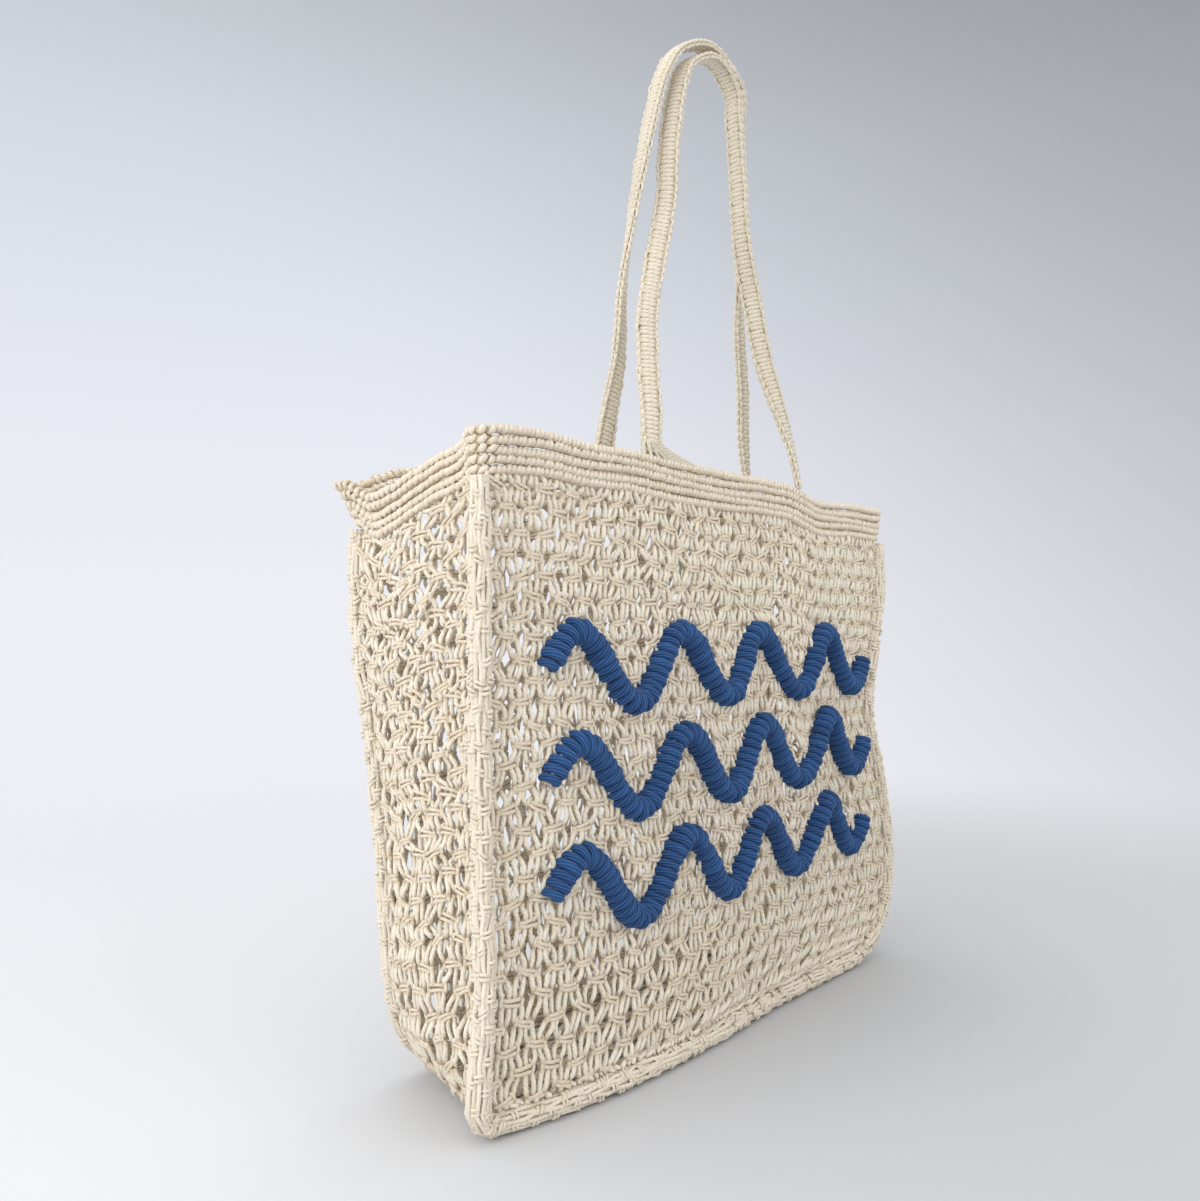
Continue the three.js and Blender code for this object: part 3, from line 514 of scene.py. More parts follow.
class Wire:
    """One output socket. Sums on it add Math nodes."""

    def __init__(self, finish, socket):
        self.finish, self.socket = finish, socket

    def math(self, operation, *values):
        return self.finish.node("ShaderNodeMath", {"operation": operation}, dict(enumerate(values)))

    def __add__(self, other):
        return self.math("ADD", self, other)

    def __sub__(self, other):
        return self.math("SUBTRACT", self, other)

    def __mul__(self, other):
        return self.math("MULTIPLY", self, other)

    def __rsub__(self, other):
        return self.math("SUBTRACT", other, self)

    __radd__, __rmul__ = __add__, __mul__

    def power(self, exponent):
        return self.math("POWER", self, exponent)

    def wave(self):
        """0 to 1 and back, once for each whole turn of the value."""
        return self.math("SINE", self * (2 * math.pi)) * 0.5 + 0.5

    def output(self, number):
        """Another output of the same node."""
        return Wire(self.finish, self.socket.node.outputs[number])


# %% Finishes


class Finish:
    """A material, or the world, and the nodes in it."""

    def __init__(self, name, world=None):
        self.owner = world or bpy.data.materials.new(name)
        self.owner.use_nodes = True
        self.tree = self.owner.node_tree
        self.tree.nodes.clear()

    def node(self, kind, settings=None, values=None, out=0):
        made = self.tree.nodes.new(kind)
        for key, value in (settings or {}).items():
            if key == "stops":
                ramp = made.color_ramp
                while len(ramp.elements) < len(value):
                    ramp.elements.new(0.5)
                for element, (place, colour) in zip(ramp.elements, value):
                    element.position, element.color = place, colour
            else:
                setattr(made, key, value)
        for key, value in (values or {}).items():
            socket = made.inputs[key]
            if isinstance(value, Wire):
                self.tree.links.new(value.socket, socket)
            else:
                socket.default_value = value
        return Wire(self, made.outputs[out]) if made.outputs else None

    def blend(self, share, low, high):
        """A colour between two others."""
        return self.node("ShaderNodeMix", {"data_type": "RGBA"}, {0: share, 6: low, 7: high}, out=2)


# %% Colours


def paint(red, green, blue):
    """A colour as a picture shows it (0 to 255), turned into the light that it stands for."""
    def light(level):
        level /= 255
        return level / 12.92 if level <= 0.04045 else ((level + 0.055) / 1.055) ** 2.4
    return (light(red), light(green), light(blue), 1.0)


print("middle grey, 128 in a picture, stands for", round(paint(128, 128, 128)[0], 3), "of the light")

# %% [markdown]
# ## Cotton cord
# The cord is loosely spun cotton, about two millimetres thick. Up close it has three things to show: the
# slanting lines of its twist, short fibres along it, and a slightly different cream from one length to the
# next. The twist is a bump with painted shade in its grooves, and where the cord dives into a knot painted
# shade turns it tan. The map that every tube carries makes the first two easy, because a slanted line is
# only "round the cord" added to "along the cord". We write the parts that the blue yarn will need too as
# helpers: reading the map, a speckle in the room, and the surface with its bump.

# %% Helpers for yarn


def read_cord(finish):
    """What a tube tells its finish: round the cord (0 to 1), along it in mm, and its own tone."""
    where = finish.node("ShaderNodeUVMap", {"uv_map": "cord"})
    around = finish.node("ShaderNodeSeparateXYZ", values={0: where})
    tone = finish.node("ShaderNodeAttribute", {"attribute_name": "tone"}, out=2)
    return around, around.output(1), tone


def speckle(finish, scale):
    """Noise that is fixed to the bag, the same in every cord that passes."""
    return finish.node("ShaderNodeTexNoise", {"noise_dimensions": "3D"},
                       {"Vector": finish.node("ShaderNodeTexCoord", out=3), "Scale": scale, "Detail": 3.0})


def yarn_surface(finish, colour, roughness, bump, settings):
    """Soft yarn: a rough surface, a bump of its twist, and a little sheen from its fibres."""
    surface = finish.node("ShaderNodeBsdfPrincipled", values={
        "Base Color": colour, "Roughness": roughness,
        "Normal": finish.node("ShaderNodeBump", values=bump), **settings})
    finish.node("ShaderNodeOutputMaterial", values={"Surface": surface})
    print("finish:", finish.owner.name, "with", len(finish.tree.nodes), "nodes")
    return finish.owner


# %% Cotton finish


def cotton_finish(name, pale, deep, nook, lay_length):
    """lay_length is how far apart the lines of the twist are along the cord, in mm."""
    finish = Finish(name)
    around, along, tone = read_cord(finish)
    # How much painted shade this point carries, from its attribute.
    shade_amount = finish.node("ShaderNodeAttribute", {"attribute_name": "nook"}, out=2)
    twist = (around * 2 + along * (1 / lay_length)).wave()
    stretch = finish.node("ShaderNodeCombineXYZ",
                          values={0: around * 14 + along * 3, 1: along * 0.5, 2: tone * 40})
    fibre = finish.node("ShaderNodeTexNoise", {"noise_dimensions": "3D"},
                        {"Vector": stretch, "Scale": 1.0, "Detail": 2.0, "Roughness": 0.6})
    # (1 - twist) darkens the grooves of the twist, which is painted shade; tone, fibre and speckle are the
    # cord's own colour.
    share = tone * 0.45 + (1 - twist) * 0.25 + (fibre - 0.5) * 0.9 + (speckle(finish, 22.0) - 0.5) * 0.6
    # The last colour is painted shade, mixed in where a cord lies in a knot or groove.
    colour = finish.blend(shade_amount, finish.blend(share, pale, deep), nook)
    bump = {"Strength": 0.7, "Distance": 0.0004, "Height": twist.power(0.6) + fibre * 0.8}
    return yarn_surface(finish, colour, 0.8 + (fibre - 0.5) * 0.2, bump,
                        {"Sheen Weight": 0.15, "Sheen Roughness": 0.5, "Specular IOR Level": 0.2})


# The third colour of each finish is its painted shade for knots, grooves and cores.
net_cotton = cotton_finish(
    "net_cotton", paint(239, 231, 215), paint(224, 211, 188), paint(192, 166, 128), 3.2)
cord_cotton = cotton_finish(
    "cord_cotton", paint(238, 230, 214), paint(222, 210, 188), paint(178, 151, 113), 3.6)
strap_cotton = cotton_finish(
    "strap_cotton", paint(222, 213, 195), paint(206, 195, 172), paint(160, 138, 104), 3.6)

# %% [markdown]
# ## The nets
# The walls are alternating square knots. Two cords run through each knot and two are tied round them, and
# the four leave it in pairs, down to the left and down to the right, to meet cords of the neighbours in the
# next row. We place the knots first, with a little unevenness, as hands do, and with the rows closer
# together towards the rim. Slow waves across the sheet keep neighbours in step, and a small random
# shift on top makes each knot its own. One more row beyond each edge holds the ends of the outer cords.

# %% Rows of knots


def knot_rows(length, *pitches):
    """Where the rows of knots lie along a sheet, from row pitches at even places along it."""
    edges = [0.0]
    while edges[-1] < length:
        edges.append(edges[-1] + np.interp(edges[-1] / length, np.linspace(0, 1, len(pitches)), pitches))
    edges = np.array(edges) * length / edges[-1]
    return (edges[1:] + edges[:-1]) / 2


print("rows 12 mm apart down the front:", len(knot_rows(front_sheet.length, 12.0, 12.0)))

# %% Knot positions
KNOT_PITCH = 19.4  # mm from one knot to the next in a row
ANCHOR_ROW = 3.0  # how far beyond the edge the rows of anchors lie
SWAY, SAG, BULGE = 1.8, 1.3, 1.0  # the slow waves: across, along and off the sheet


class KnotPlan:
    """Where the knots of a net lie, and which are joined. Every second place of a row holds a knot, and the
    next row uses the places between."""

    def __init__(self, sheet, columns, centres, uneven):
        self.sheet, self.uneven = sheet, uneven
        rows = len(centres)
        row, place = np.meshgrid(np.arange(rows + 2), np.arange(2 * columns + 1), indexing="ij")
        used = (row + place) % 2 == 0
        self.row, self.place = row[used], place[used]
        self.real = (self.row > 0) & (self.row <= rows)
        across = self.place / (2 * columns) * sheet.width
        along = np.concatenate([[-ANCHOR_ROW], centres, [sheet.length + ANCHOR_ROW]])[self.row]
        drift = rng.uniform(0, 2 * math.pi, 6)
        sway = np.sin(across / 37 + drift[0]) * np.sin(along / 53 + drift[1])
        sag = np.sin(across / 61 + drift[2]) * np.sin(along / 34 + drift[3])
        inner = np.sin(math.pi * np.clip(across / sheet.width, 0, 1)) ** 0.5
        self.across = across + inner * (SWAY * sway + rng.normal(0, uneven, len(across)))
        self.along = np.where(self.real, along + SAG * sag + rng.normal(0, uneven * 0.8, len(across)), along)
        self.lift = BULGE * np.sin(across / 29 + drift[4]) * np.sin(along / 41 + drift[5])
        self.lift = self.lift + rng.normal(0, 0.5 * uneven, len(across))
        number = np.full(row.shape, -1)
        number[used] = np.arange(used.sum())
        pairs = []
        for side in (-1, 1):  # the neighbour below on the left, then on the right
            there = (self.row <= rows) & (self.place + side >= 0) & (self.place + side <= 2 * columns)
            below = number[self.row[there] + 1, self.place[there] + side]
            pairs.append(np.stack([np.nonzero(there)[0], below, np.full(there.sum(), side)], 1))
        self.pairs = np.concatenate(pairs)
        print("knots:", int(self.real.sum()), " cords between them:", 2 * len(self.pairs))


print("knots in a row of the front:", round(front_sheet.width / KNOT_PITCH))

# %% [markdown]
# Each knot is two flattened rings, which are its two half knots lying one above the other with a crease
# between them, and a loop at each side where the tying cords turn from one half to the other. The knots are
# tied loosely, so each is a short, wide bar. No two are of one size, and each leans its own way.

# %% Knots
BAR_HALF = 5.2  # half the width of a knot, to the middle of its cord
HALF_UP, HALF_LIFT, HALF_BEND = 1.1, 1.1, 0.3  # a half knot's place along, its depth, and its bend
SIDE_LOOP = np.array([(3.8, 3.2, -0.9), (5.7, 1.2, 0.5), (5.6, -1.2, 0.5), (3.6, -3.1, -0.9)])
IN_KNOT, IN_LOOP = 0.8, 0.85  # a cord is pulled thinner in the knot and at its sides


def by_turns(count, size):
    """Plus and minus a size, one after the other, as a column."""
    return np.where(np.arange(count) % 2 == 0, size, -size)[:, None]


def blunt(wave, power):
    """A wave that stays near its highest and lowest for longer, which squares a circle's corners."""
    return np.sign(wave) * np.abs(wave) ** power


def net_knots(bundle, plan, cord, points, sides):
    keep = plan.real
    centre = np.stack([plan.across, plan.along, plan.lift], -1)[keep]
    count = len(centre)
    size = rng.normal(0.97, 0.12, count)[:, None]
    lean = rng.normal(0, 0.14 + 0.1 * plan.uneven, count)[:, None]

    def room(local):
        a, b, c = local[..., 0] * size, local[..., 1] * size, local[..., 2]
        a, b = a - b * lean, b + a * lean
        return plan.sheet.at(centre[:, :1] + a, centre[:, 1:2] + b, centre[:, 2:] + c)

    turn = full_turn(points)
    for low in (-1, 1):
        slant = rng.normal(0.3, 0.2, (count, 1)) * low
        ring = np.stack(np.broadcast_arrays(
            BAR_HALF * blunt(np.cos(turn), 0.8),
            low * HALF_UP + slant * np.cos(turn) + HALF_BEND * np.cos(2 * turn),
            HALF_LIFT * np.sin(turn) + 0.2), -1)
        along = room(ring + (0, 0.5, 0)) - room(ring - (0, 0.5, 0))
        # Painted shade: the whole knot is darkened a little towards the shade colour.
        bundle.lay(room(ring), cord * IN_KNOT, sides, closed=True, lie=along, flat=0.85, nook=0.3)
    for side in (-1.0, 1.0):
        skew = rng.normal(1.0, 0.12, (count, 1))
        loop = np.stack(np.broadcast_arrays(
            SIDE_LOOP[:, 0] * side, SIDE_LOOP[:, 1] * skew, SIDE_LOOP[:, 2] + 0 * skew), -1)
        # Its side loops get less painted shade.
        bundle.lay(room(loop), cord * IN_LOOP, 4, nook=0.15)


print("a knot is", 2 * SIDE_LOOP[:, 0].max(), "mm wide over its loops")

# %% [markdown]
# From each knot two cords run to the knot below on either side, one from near its middle and one from its
# edge. A cord leaves straight down and comes in straight down, and in between it bows and lies a little
# proud of the knots. Four control points say all that, so every cord is one cubic curve.

# %% Cords between the knots
CORD_STEPS = 5  # points of a cord
CORD_RISE = 0.9  # how far its middle stands proud of the knots
KNOT_EXIT = 0.8  # how far along from a knot's middle its cords leave it
CORD_RUNS = ((1.8, -5.5, (-0.4, -1.6)), (5.5, -1.8, (1.6, 0.4)))  # where it leaves, arrives, and bows out


def net_cords(bundle, plan, cord, sides):
    """Two cords between neighbours, from one knot into the other."""
    above, below, side = plan.pairs.T
    count = len(side)
    t = np.linspace(0, 1, CORD_STEPS)[None]
    weights = [(1 - t) ** 3, 3 * t * (1 - t) ** 2, 3 * t * t * (1 - t), t ** 3]
    gap = plan.along[below] - plan.along[above]
    for leave, arrive, bow in CORD_RUNS:
        wander = rng.normal(0, plan.uneven + 0.1, (2, count))
        a0, a3 = plan.across[above] + side * leave, plan.across[below] + side * arrive
        b0, b3 = plan.along[above] + KNOT_EXIT, plan.along[below] - KNOT_EXIT
        c0, c3 = plan.lift[above], plan.lift[below]
        hold = gap * rng.uniform(0.3, 0.48, count)
        across = [a0, a0 + side * bow[0] + wander[0], a3 + side * bow[1] + wander[1], a3]
        along = [b0, b0 + hold, b3 - hold, b3]
        rise = rng.normal(CORD_RISE, 0.3 + 0.5 * plan.uneven, count)
        lift = [c0 + 0.2, c0 + rise, c3 + rise, c3 + 0.2]
        local = [sum(w * v[:, None] for w, v in zip(weights, axis)) for axis in (across, along, lift)]
        # Painted shade: a cord darkens towards both ends, where it dives into a knot.
        shade_amount = np.abs(2 * t - 1) ** 4 * 0.7 + np.zeros((count, 1))
        thick = cord * rng.normal(1.0, 0.05, (count, 1)) * np.ones_like(t)
        bundle.lay(plan.sheet.at(*local), thick, sides, nook=shade_amount)


print("cords from a knot:", 2 * len(CORD_RUNS))

# %% [markdown]
# The three nets differ in few numbers only: the pitch of their rows, how unevenly they are tied, and the
# thickness of the cord. The gusset was tied more loosely than the panels and its rows change most, from
# close ones under the rim to wide ones at the base. The back is seen least and gets fewer points to a ring.

# %% Front, back and gusset nets
PANEL_ROWS = (13.0, 12.2, 11.6, 11.4)  # row pitches in mm, evenly spread from one end to the other
GUSSET_ROWS = (8.6, 9.4, 13.5, 15.5, 15.5, 15.5, 13.5, 9.4, 8.6)


def net(name, node, sheet, pitches, uneven, cord, ring_points, sides):
    plan = KnotPlan(sheet, round(sheet.width / KNOT_PITCH + 0.3), knot_rows(sheet.length, *pitches), uneven)
    knots, cords = Bundle(), Bundle()
    net_knots(knots, plan, cord, ring_points, sides)
    net_cords(cords, plan, cord, sides)
    make_piece(knots, name + "_knots", node, net_cotton)
    make_piece(cords, name + "_cords", node, net_cotton)


net("front_net", "front_panel", front_sheet, PANEL_ROWS, 1.1, 1.4, 7, 5)
net("gusset_net", "gusset", gusset_sheet, GUSSET_ROWS, 1.5, 1.3, 7, 5)
net("back_net", "back_panel", back_sheet, PANEL_ROWS, 1.0, 1.45, 6, 4)

# %% [markdown]
# ## The corner seams
# Where the long side strip meets the front and the back, the edge cords of both nets are gathered into a
# thick upright ridge. It is a lumpy bundle of thin cords with the last knots of both nets tied round its
# outside. To build round a bent line we need a frame at each place on it: the line's own direction, one that
# points into the panel, and one beside both.

# %% Seam frames
SEAM_STEP = 8.0  # mm


def resample(values, way, even):
    return np.stack([np.interp(even, way, values[:, k]) for k in range(values.shape[1])], -1)


def seam_frames(face):
    """Even places along a seam: the point, the direction into the panel and the one beside it."""
    line, inwards = seam_line(face, 90)
    way = ways(line)
    even = np.linspace(0, way[-1], int(way[-1] / SEAM_STEP))
    line, inwards = resample(line, way, even), unit(resample(inwards, way, even))
    tangent = unit(np.gradient(line, axis=0))
    inwards = square_to(inwards, tangent)
    return even, line, inwards, np.cross(tangent, inwards)


print("places on the front seam:", len(seam_frames("front")[0]))

# %% [markdown]
# We lay thin cords side by side on a circle round a core darkened by painted shade, each wandering a
# little, and then put short knots in seven columns over them, two bows to a knot. An eighth column would lie
# inside the corner, between the two nets, where nobody looks. The whole bundle gets thinner where it runs
# into the rim.

# %% Seams
SEAM_CORDS, SEAM_CORD, SEAM_CORE = 13, 1.35, 4.3  # how many cords, their radius and the core's
SEAM_CORDS_OUT, SEAM_BOWS_OUT = 4.7, 6.0  # how far cords and bows lie from the middle
SEAM_THIN, SEAM_THIN_LENGTH = 0.72, 35.0  # its thickness at the rim, and how soon it is full
SEAM_KNOT_PITCH, SEAM_BOW, BOW_APART = 15.0, 1.1, 1.2
SEAM_FLANKS = (-0.1, -0.9, -1.7, -2.5, 3.0, 2.2, 1.4)  # where the columns lie, in radians from the panel


def round_seam(radius, angle, inwards, beside):
    return (radius * np.cos(angle))[..., None] * inwards + (radius * np.sin(angle))[..., None] * beside


def seam(name, node, face):
    even, line, inwards, beside = seam_frames(face)
    from_end = np.minimum(even, even[-1] - even)
    fat = mix(SEAM_THIN, 1.0, smooth(np.clip(from_end / SEAM_THIN_LENGTH, 0, 1)))
    lump = 0.4 * np.sin(even / 7.3) * np.sin(even / 19.0) + rng.normal(0, 0.3, len(even))
    bundle = Bundle()
    # Painted shade: the core goes a third of the way to the shade colour, and the cords and bows a little.
    bundle.lay(line[None], SEAM_CORE * fat, 10, nook=0.35)
    shape = (SEAM_CORDS, len(even))
    angle = full_turn(SEAM_CORDS)[:, None] + rng.normal(0, 0.13, shape)
    radius = (SEAM_CORDS_OUT + lump + rng.normal(0, 0.4, shape)) * fat
    bundle.lay(line[None] + round_seam(radius, angle, inwards[None], beside[None]), SEAM_CORD, 5, nook=0.08)
    gusset_way = np.sign(np.mean(beside[:, 1])) * (1.0 if face == "front" else -1.0)
    count = int(even[-1] / SEAM_KNOT_PITCH)
    t = np.linspace(-1, 1, 5)
    for column, flank in enumerate(SEAM_FLANKS):
        place = (np.arange(count) + 0.5 * (column % 2) + rng.uniform(0.1, 0.5, count)) * SEAM_KNOT_PITCH
        middle = flank * gusset_way + rng.normal(0, 0.15, (count, 1))
        reach = rng.uniform(0.4, 0.62, (count, 1))
        slant = rng.normal(0, 0.9, (count, 1))
        for shift in (-BOW_APART, BOW_APART):
            at = np.minimum(place + shift, even[-1])
            centre, into, aside, size = (
                resample(v, even, at)[:, None] for v in (line, inwards, beside, fat[:, None]))
            lift = (SEAM_BOWS_OUT + rng.normal(0, 0.2, (count, 1)) - 1.5 * t ** 4) * size[:, 0]
            bows = (centre + round_seam(lift, middle + reach * t, into, aside)
                    + (slant * t)[..., None] * np.cross(into, aside))
            bundle.lay(bows, SEAM_BOW, 4, nook=0.12)
    make_piece(bundle, name, node, cord_cotton)


seam("front_seam_cords", "front_seam", "front")
seam("back_seam_cords", "back_seam", "back")

# %% [markdown]
# ## The rim
# The mouth is closed by five rows of hitches. In each row the upright cords are wrapped, one after another,
# round a core cord that runs round the bag. First we follow the mouth once. It is four sides with their
# swell, joined by turned corners, and every point of it keeps its round number, which is its place in the
# rim's table: 0 to 1 along the front, 1 to 2 along the right side, and so on.

# %% One side of the mouth


def rim_side(side, shares):
    """Plan, round numbers and corners of one side of the mouth."""
    names = ("fl", "fr", "br", "bl")
    ends = [np.array(corner_plan(names[(side + k) % 4], rim_top(float(side + k) % 4) - RIM_HEIGHT))
            for k in (0, 1)]
    round_ = side + shares
    plan = ends[0] + (ends[1] - ends[0]) * shares[:, None]
    height = (rim_top(round_) - RIM_HEIGHT) / BAG_HEIGHT
    push = [-swell(FRONT_SWELL, shares, height), swell(SIDE_SWELL, shares, height),
            swell(BACK_SWELL, 1 - shares, height), -swell(SIDE_SWELL, 1 - shares, height)][side] * SEAM_DEPTH
    plan[:, 1 if side % 2 == 0 else 0] += push
    return plan, round_, ends


print("middle of the front rim:", np.round(rim_side(0, np.full(1, 0.5))[0][0]), "mm in plan")

# %% The whole mouth
SIDE_POINTS, CORNER_POINTS = (160, 50, 160, 50), 12


def rim_line():
    """The mouth as one closed line: four sides joined by turned corners."""
    plans, rounds, sides = [], [], []
    for side, points in enumerate(SIDE_POINTS):
        ends = rim_side(side, np.zeros(1))[2]
        margin = RIM_CORNER / np.linalg.norm(ends[1] - ends[0])
        sides.append(rim_side(side, np.linspace(margin, 1 - margin, points)))
    for side, (plan, round_, ends) in enumerate(sides):
        following = sides[(side + 1) % 4]
        plans.append(plan)
        rounds.append(round_)
        t = np.linspace(0, 1, CORNER_POINTS + 2)[1:-1, None]
        a = plan[-1] + (ends[1] - plan[-1]) * t
        b = ends[1] + (following[0][0] - ends[1]) * t
        plans.append(a + (b - a) * t)
        end = following[1][0] + (4 if side == 3 else 0)
        rounds.append(mix(round_[-1], end, t[:, 0]) % 4)
    return np.concatenate(plans), np.concatenate(rounds)


print("points round the mouth:", len(rim_line()[0]))

# %% Places on the rim


def rim_frames(pitch):
    """Evenly spaced places round the mouth: plan, round number, direction along and direction out."""
    plan, round_ = rim_line()
    loop = np.vstack([plan, plan[:1]])
    way = ways(loop)
    even = np.linspace(0, way[-1], int(way[-1] / pitch) + 1)[:-1]
    unrolled = np.unwrap(np.append(round_, round_[0]), period=4)
    plan, round_ = resample(loop, way, even), np.interp(even, way, unrolled) % 4
    along = unit(np.roll(plan, -1, 0) - np.roll(plan, 1, 0))
    return plan, round_, along, np.stack([along[:, 1], -along[:, 0]], -1)


def rim_point(plan, round_, out, push, up):
    """A point of the rim: pushed out of its middle, and up from its lower edge."""
    lean = read(RIM_LINE, "out", round_)
    shift = (push + lean * up)[..., None] * out
    return np.concatenate([plan + shift, (rim_top(round_) - RIM_HEIGHT + up)[..., None]], -1)


print("round the mouth:", len(rim_frames(1.0)[0]), "mm")

# %% [markdown]
# A row then is a ridge of fine slanting wraps with a groove above and below. Each wrap is a small flattened
# ring round the row's core, pushed along by its slant, and two wraps make one hitch, so they stand in pairs.
# The rows weave up and down a little and the wraps differ in size, or the rim would look like turned wood.

# %% Rim rows
WRAP_PITCH, WRAP_POINTS = 3.4, 7
WRAP_UP, WRAP_OUT, WRAP_SLANT, PAIR_CLOSER = 1.55, 2.2, 1.4, 0.16
WRAP_CORD, RIM_CORE = 1.8, 2.1  # radii


def rim():
    bundle = Bundle()
    plan, round_, _, out = rim_frames(8.0)
    core = plan, round_, out, np.zeros(len(plan))
    plan, round_, along, out = rim_frames(WRAP_PITCH)
    n = len(plan)
    spread = [np.repeat(v[:, None], WRAP_POINTS, 1) for v in (plan, round_, out)]
    turn = full_turn(WRAP_POINTS)[None]
    # Painted shade: each wrap darkens towards its top and bottom, in the grooves between the rows.
    groove_shade = 0.55 * np.abs(np.sin(turn)) ** 3 + 0.08
    pair = by_turns(n, PAIR_CLOSER)
    flow = np.concatenate([along, np.zeros((n, 1))], -1)[:, None]
    for row in range(RIM_ROWS):
        middle = (row + 0.5) * RIM_ROW_HEIGHT
        # The core between the wraps gets painted shade half way to the shade colour.
        bundle.lay(rim_point(*core, core[3] + middle)[None], RIM_CORE, 6, closed=True, nook=0.5)
        place = middle + 0.55 * np.sin(np.arange(n) / 9 + 2 * row) + rng.normal(0, 0.14, n)
        slant = WRAP_SLANT + rng.normal(0, 0.3, (n, 1))
        big = rng.normal(1.0, 0.1, (n, 1))
        up = place[:, None] + WRAP_UP * big * np.sin(turn)
        ring = rim_point(*spread, WRAP_OUT * big * np.cos(turn), up)
        ring[..., :2] += (slant * np.sin(turn + 0.4) + pair)[..., None] * along[:, None]
        bundle.lay(ring, WRAP_CORD, 5, closed=True, lie=flow, flat=0.75, nook=groove_shade)
    make_piece(bundle, "rim_rows", "rim_band", cord_cotton)


rim()

# %% [markdown]
# ## The straps
# A strap is a chain of the same square knots, tied close. Its line is a smooth curve through a short table of
# leg positions, and its width turns as it rises, because the bag's two straps twist against each other. The
# table has a row for each height that matters: how far the leg leans to the strap's top, how far each leg
# stands inside its foot, and how many degrees each leg is turned.

# %% Strap sizes and tables
STRAP_WIDTH, STRAP_THICK, STRAP_RISE, STRAP_SPREAD = 15.0, 5.6, 274.0, 164.0
CLEAR = 0.6  # between a strap's foot and the rim, and between the two straps
LEG_COLUMNS = "rise lean left_in right_in left_turn right_turn"
FRONT_LEGS = table(
    LEG_COLUMNS, (0.0, 0.0, 0.0, 0.0, -14, 32), (0.1, 0.22, 0.055, 0.045, -30, 16),
    (0.18, 0.45, 0.095, 0.115, -34, -4), (0.32, 0.82, 0.19, 0.24, -36, -44),
    (0.46, 0.98, 0.335, 0.34, -42, -64), (0.6, 1.0, 0.465, 0.49, -52, -84),
    (0.74, 1.0, 0.507, 0.545, -66, -92), (0.88, 1.0, 0.617, 0.605, -80, -96),
    (0.95, 1.0, 0.74, 0.635, -86, -93), (1.0, 1.0, 1.095, 1.095, -90, -90),
)
BACK_LEGS = table(
    LEG_COLUMNS, (0.0, 0.0, 0.0, 0.0, -10, 24), (0.12, 0.02, 0.1, 0.08, -3, 12),
    (0.25, 0.2, 0.162, 0.155, 14, 9), (0.4, 0.3, 0.175, 0.25, 30, 14),
    (0.53, 0.45, 0.23, 0.31, 50, 40), (0.67, 0.65, 0.3, 0.415, 68, 62),
    (0.81, 0.8, 0.41, 0.472, 76, 78), (0.88, 0.88, 0.483, 0.487, 80, 84),
    (0.95, 1.0, 0.64, 0.545, 86, 88), (1.0, 1.0, 1.045, 1.045, 90, 90),
)
STRAP_TOP = {"front": -0.36, "back": -0.34}  # where the tops lie between front and back
BACK_HIGHER = STRAP_THICK + 2 * CLEAR
print("strap tops:", BAG_HEIGHT + STRAP_RISE, "and", BAG_HEIGHT + STRAP_RISE + BACK_HIGHER, "mm high")

# %% Strap posts


def footing(face, x):
    """Where a strap's foot stands on the rim."""
    round_ = FACES[face][4]
    across, reach = 0.5 + x / SEAM_SPAN, STRAP_WIDTH / 2 / SEAM_SPAN
    top = max(float(rim_top(round_(across - reach))), float(rim_top(round_(across + reach))))
    return np.array([x, panel_point(face, across, x, top - RIM_HEIGHT)[1], top + CLEAR])


def strap_posts(face, legs, extra):
    """The posts of a strap's curve, foot to foot, each with its turn in degrees as a fourth number."""
    posts = []
    for sign, side in ((-1, "left"), (1, "right")):
        x, y, z = footing(face, sign * STRAP_SPREAD / 2)
        leg = np.stack([x * (1 - legs[side + "_in"]), mix(y, STRAP_TOP[face] * SEAM_DEPTH, legs["lean"]),
                        mix(z, BAG_HEIGHT + STRAP_RISE + extra, legs["rise"]), legs[side + "_turn"]], -1)
        posts.append(leg if sign < 0 else leg[::-1][1:])
    return np.concatenate(posts)


print("front strap's left foot:", np.round(footing("front", -STRAP_SPREAD / 2), 1), "mm")

# %% [markdown]
# The posts stand at uneven distances, and an even-paced curve would overshoot between two near ones. A
# centripetal curve takes its pace from the square root of each distance and stays close to its posts.

# %% Strap line
CURVE_STEPS = 24  # points of the curve from one post to the next


def through(posts):
    ends = np.vstack([2 * posts[0] - posts[1], posts, 2 * posts[-1] - posts[-2]])
    out = []
    for p0, p1, p2, p3 in zip(ends, ends[1:], ends[2:], ends[3:]):
        d0, d1, d2 = (max(np.linalg.norm((b - a)[:3]), 1e-6) ** 0.5
                      for a, b in ((p0, p1), (p1, p2), (p2, p3)))
        start = ((p1 - p0) / d0 - (p2 - p0) / (d0 + d1) + (p2 - p1) / d1) * d1
        end = ((p2 - p1) / d1 - (p3 - p1) / (d1 + d2) + (p3 - p2) / d2) * d1
        t = np.linspace(0, 1, CURVE_STEPS, endpoint=False)[:, None]
        a, b = 2 * p1 - 2 * p2 + start + end, -3 * p1 + 3 * p2 - 2 * start - end
        out.append(p1 + t * (start + t * (b + t * a)))
    return np.vstack(out + [posts[-1:]])


def strap_frames(face, legs, extra, pitch):
    """Even places along a strap: point, direction across it, direction off it and direction along it."""
    curve = through(strap_posts(face, legs, extra))
    way = ways(curve[:, :3])
    count = int(way[-1] / pitch)
    even = (np.arange(count) + 0.5) * way[-1] / count
    point, turn = resample(curve[:, :3], way, even), np.radians(np.interp(even, way, curve[:, 3]))
    along = unit(np.gradient(point, axis=0))
    wide = np.stack([np.cos(turn), np.sin(turn), 0 * turn], -1)
    wide = square_to(wide, along)
    return point, wide, unit(np.cross(wide, along)), along


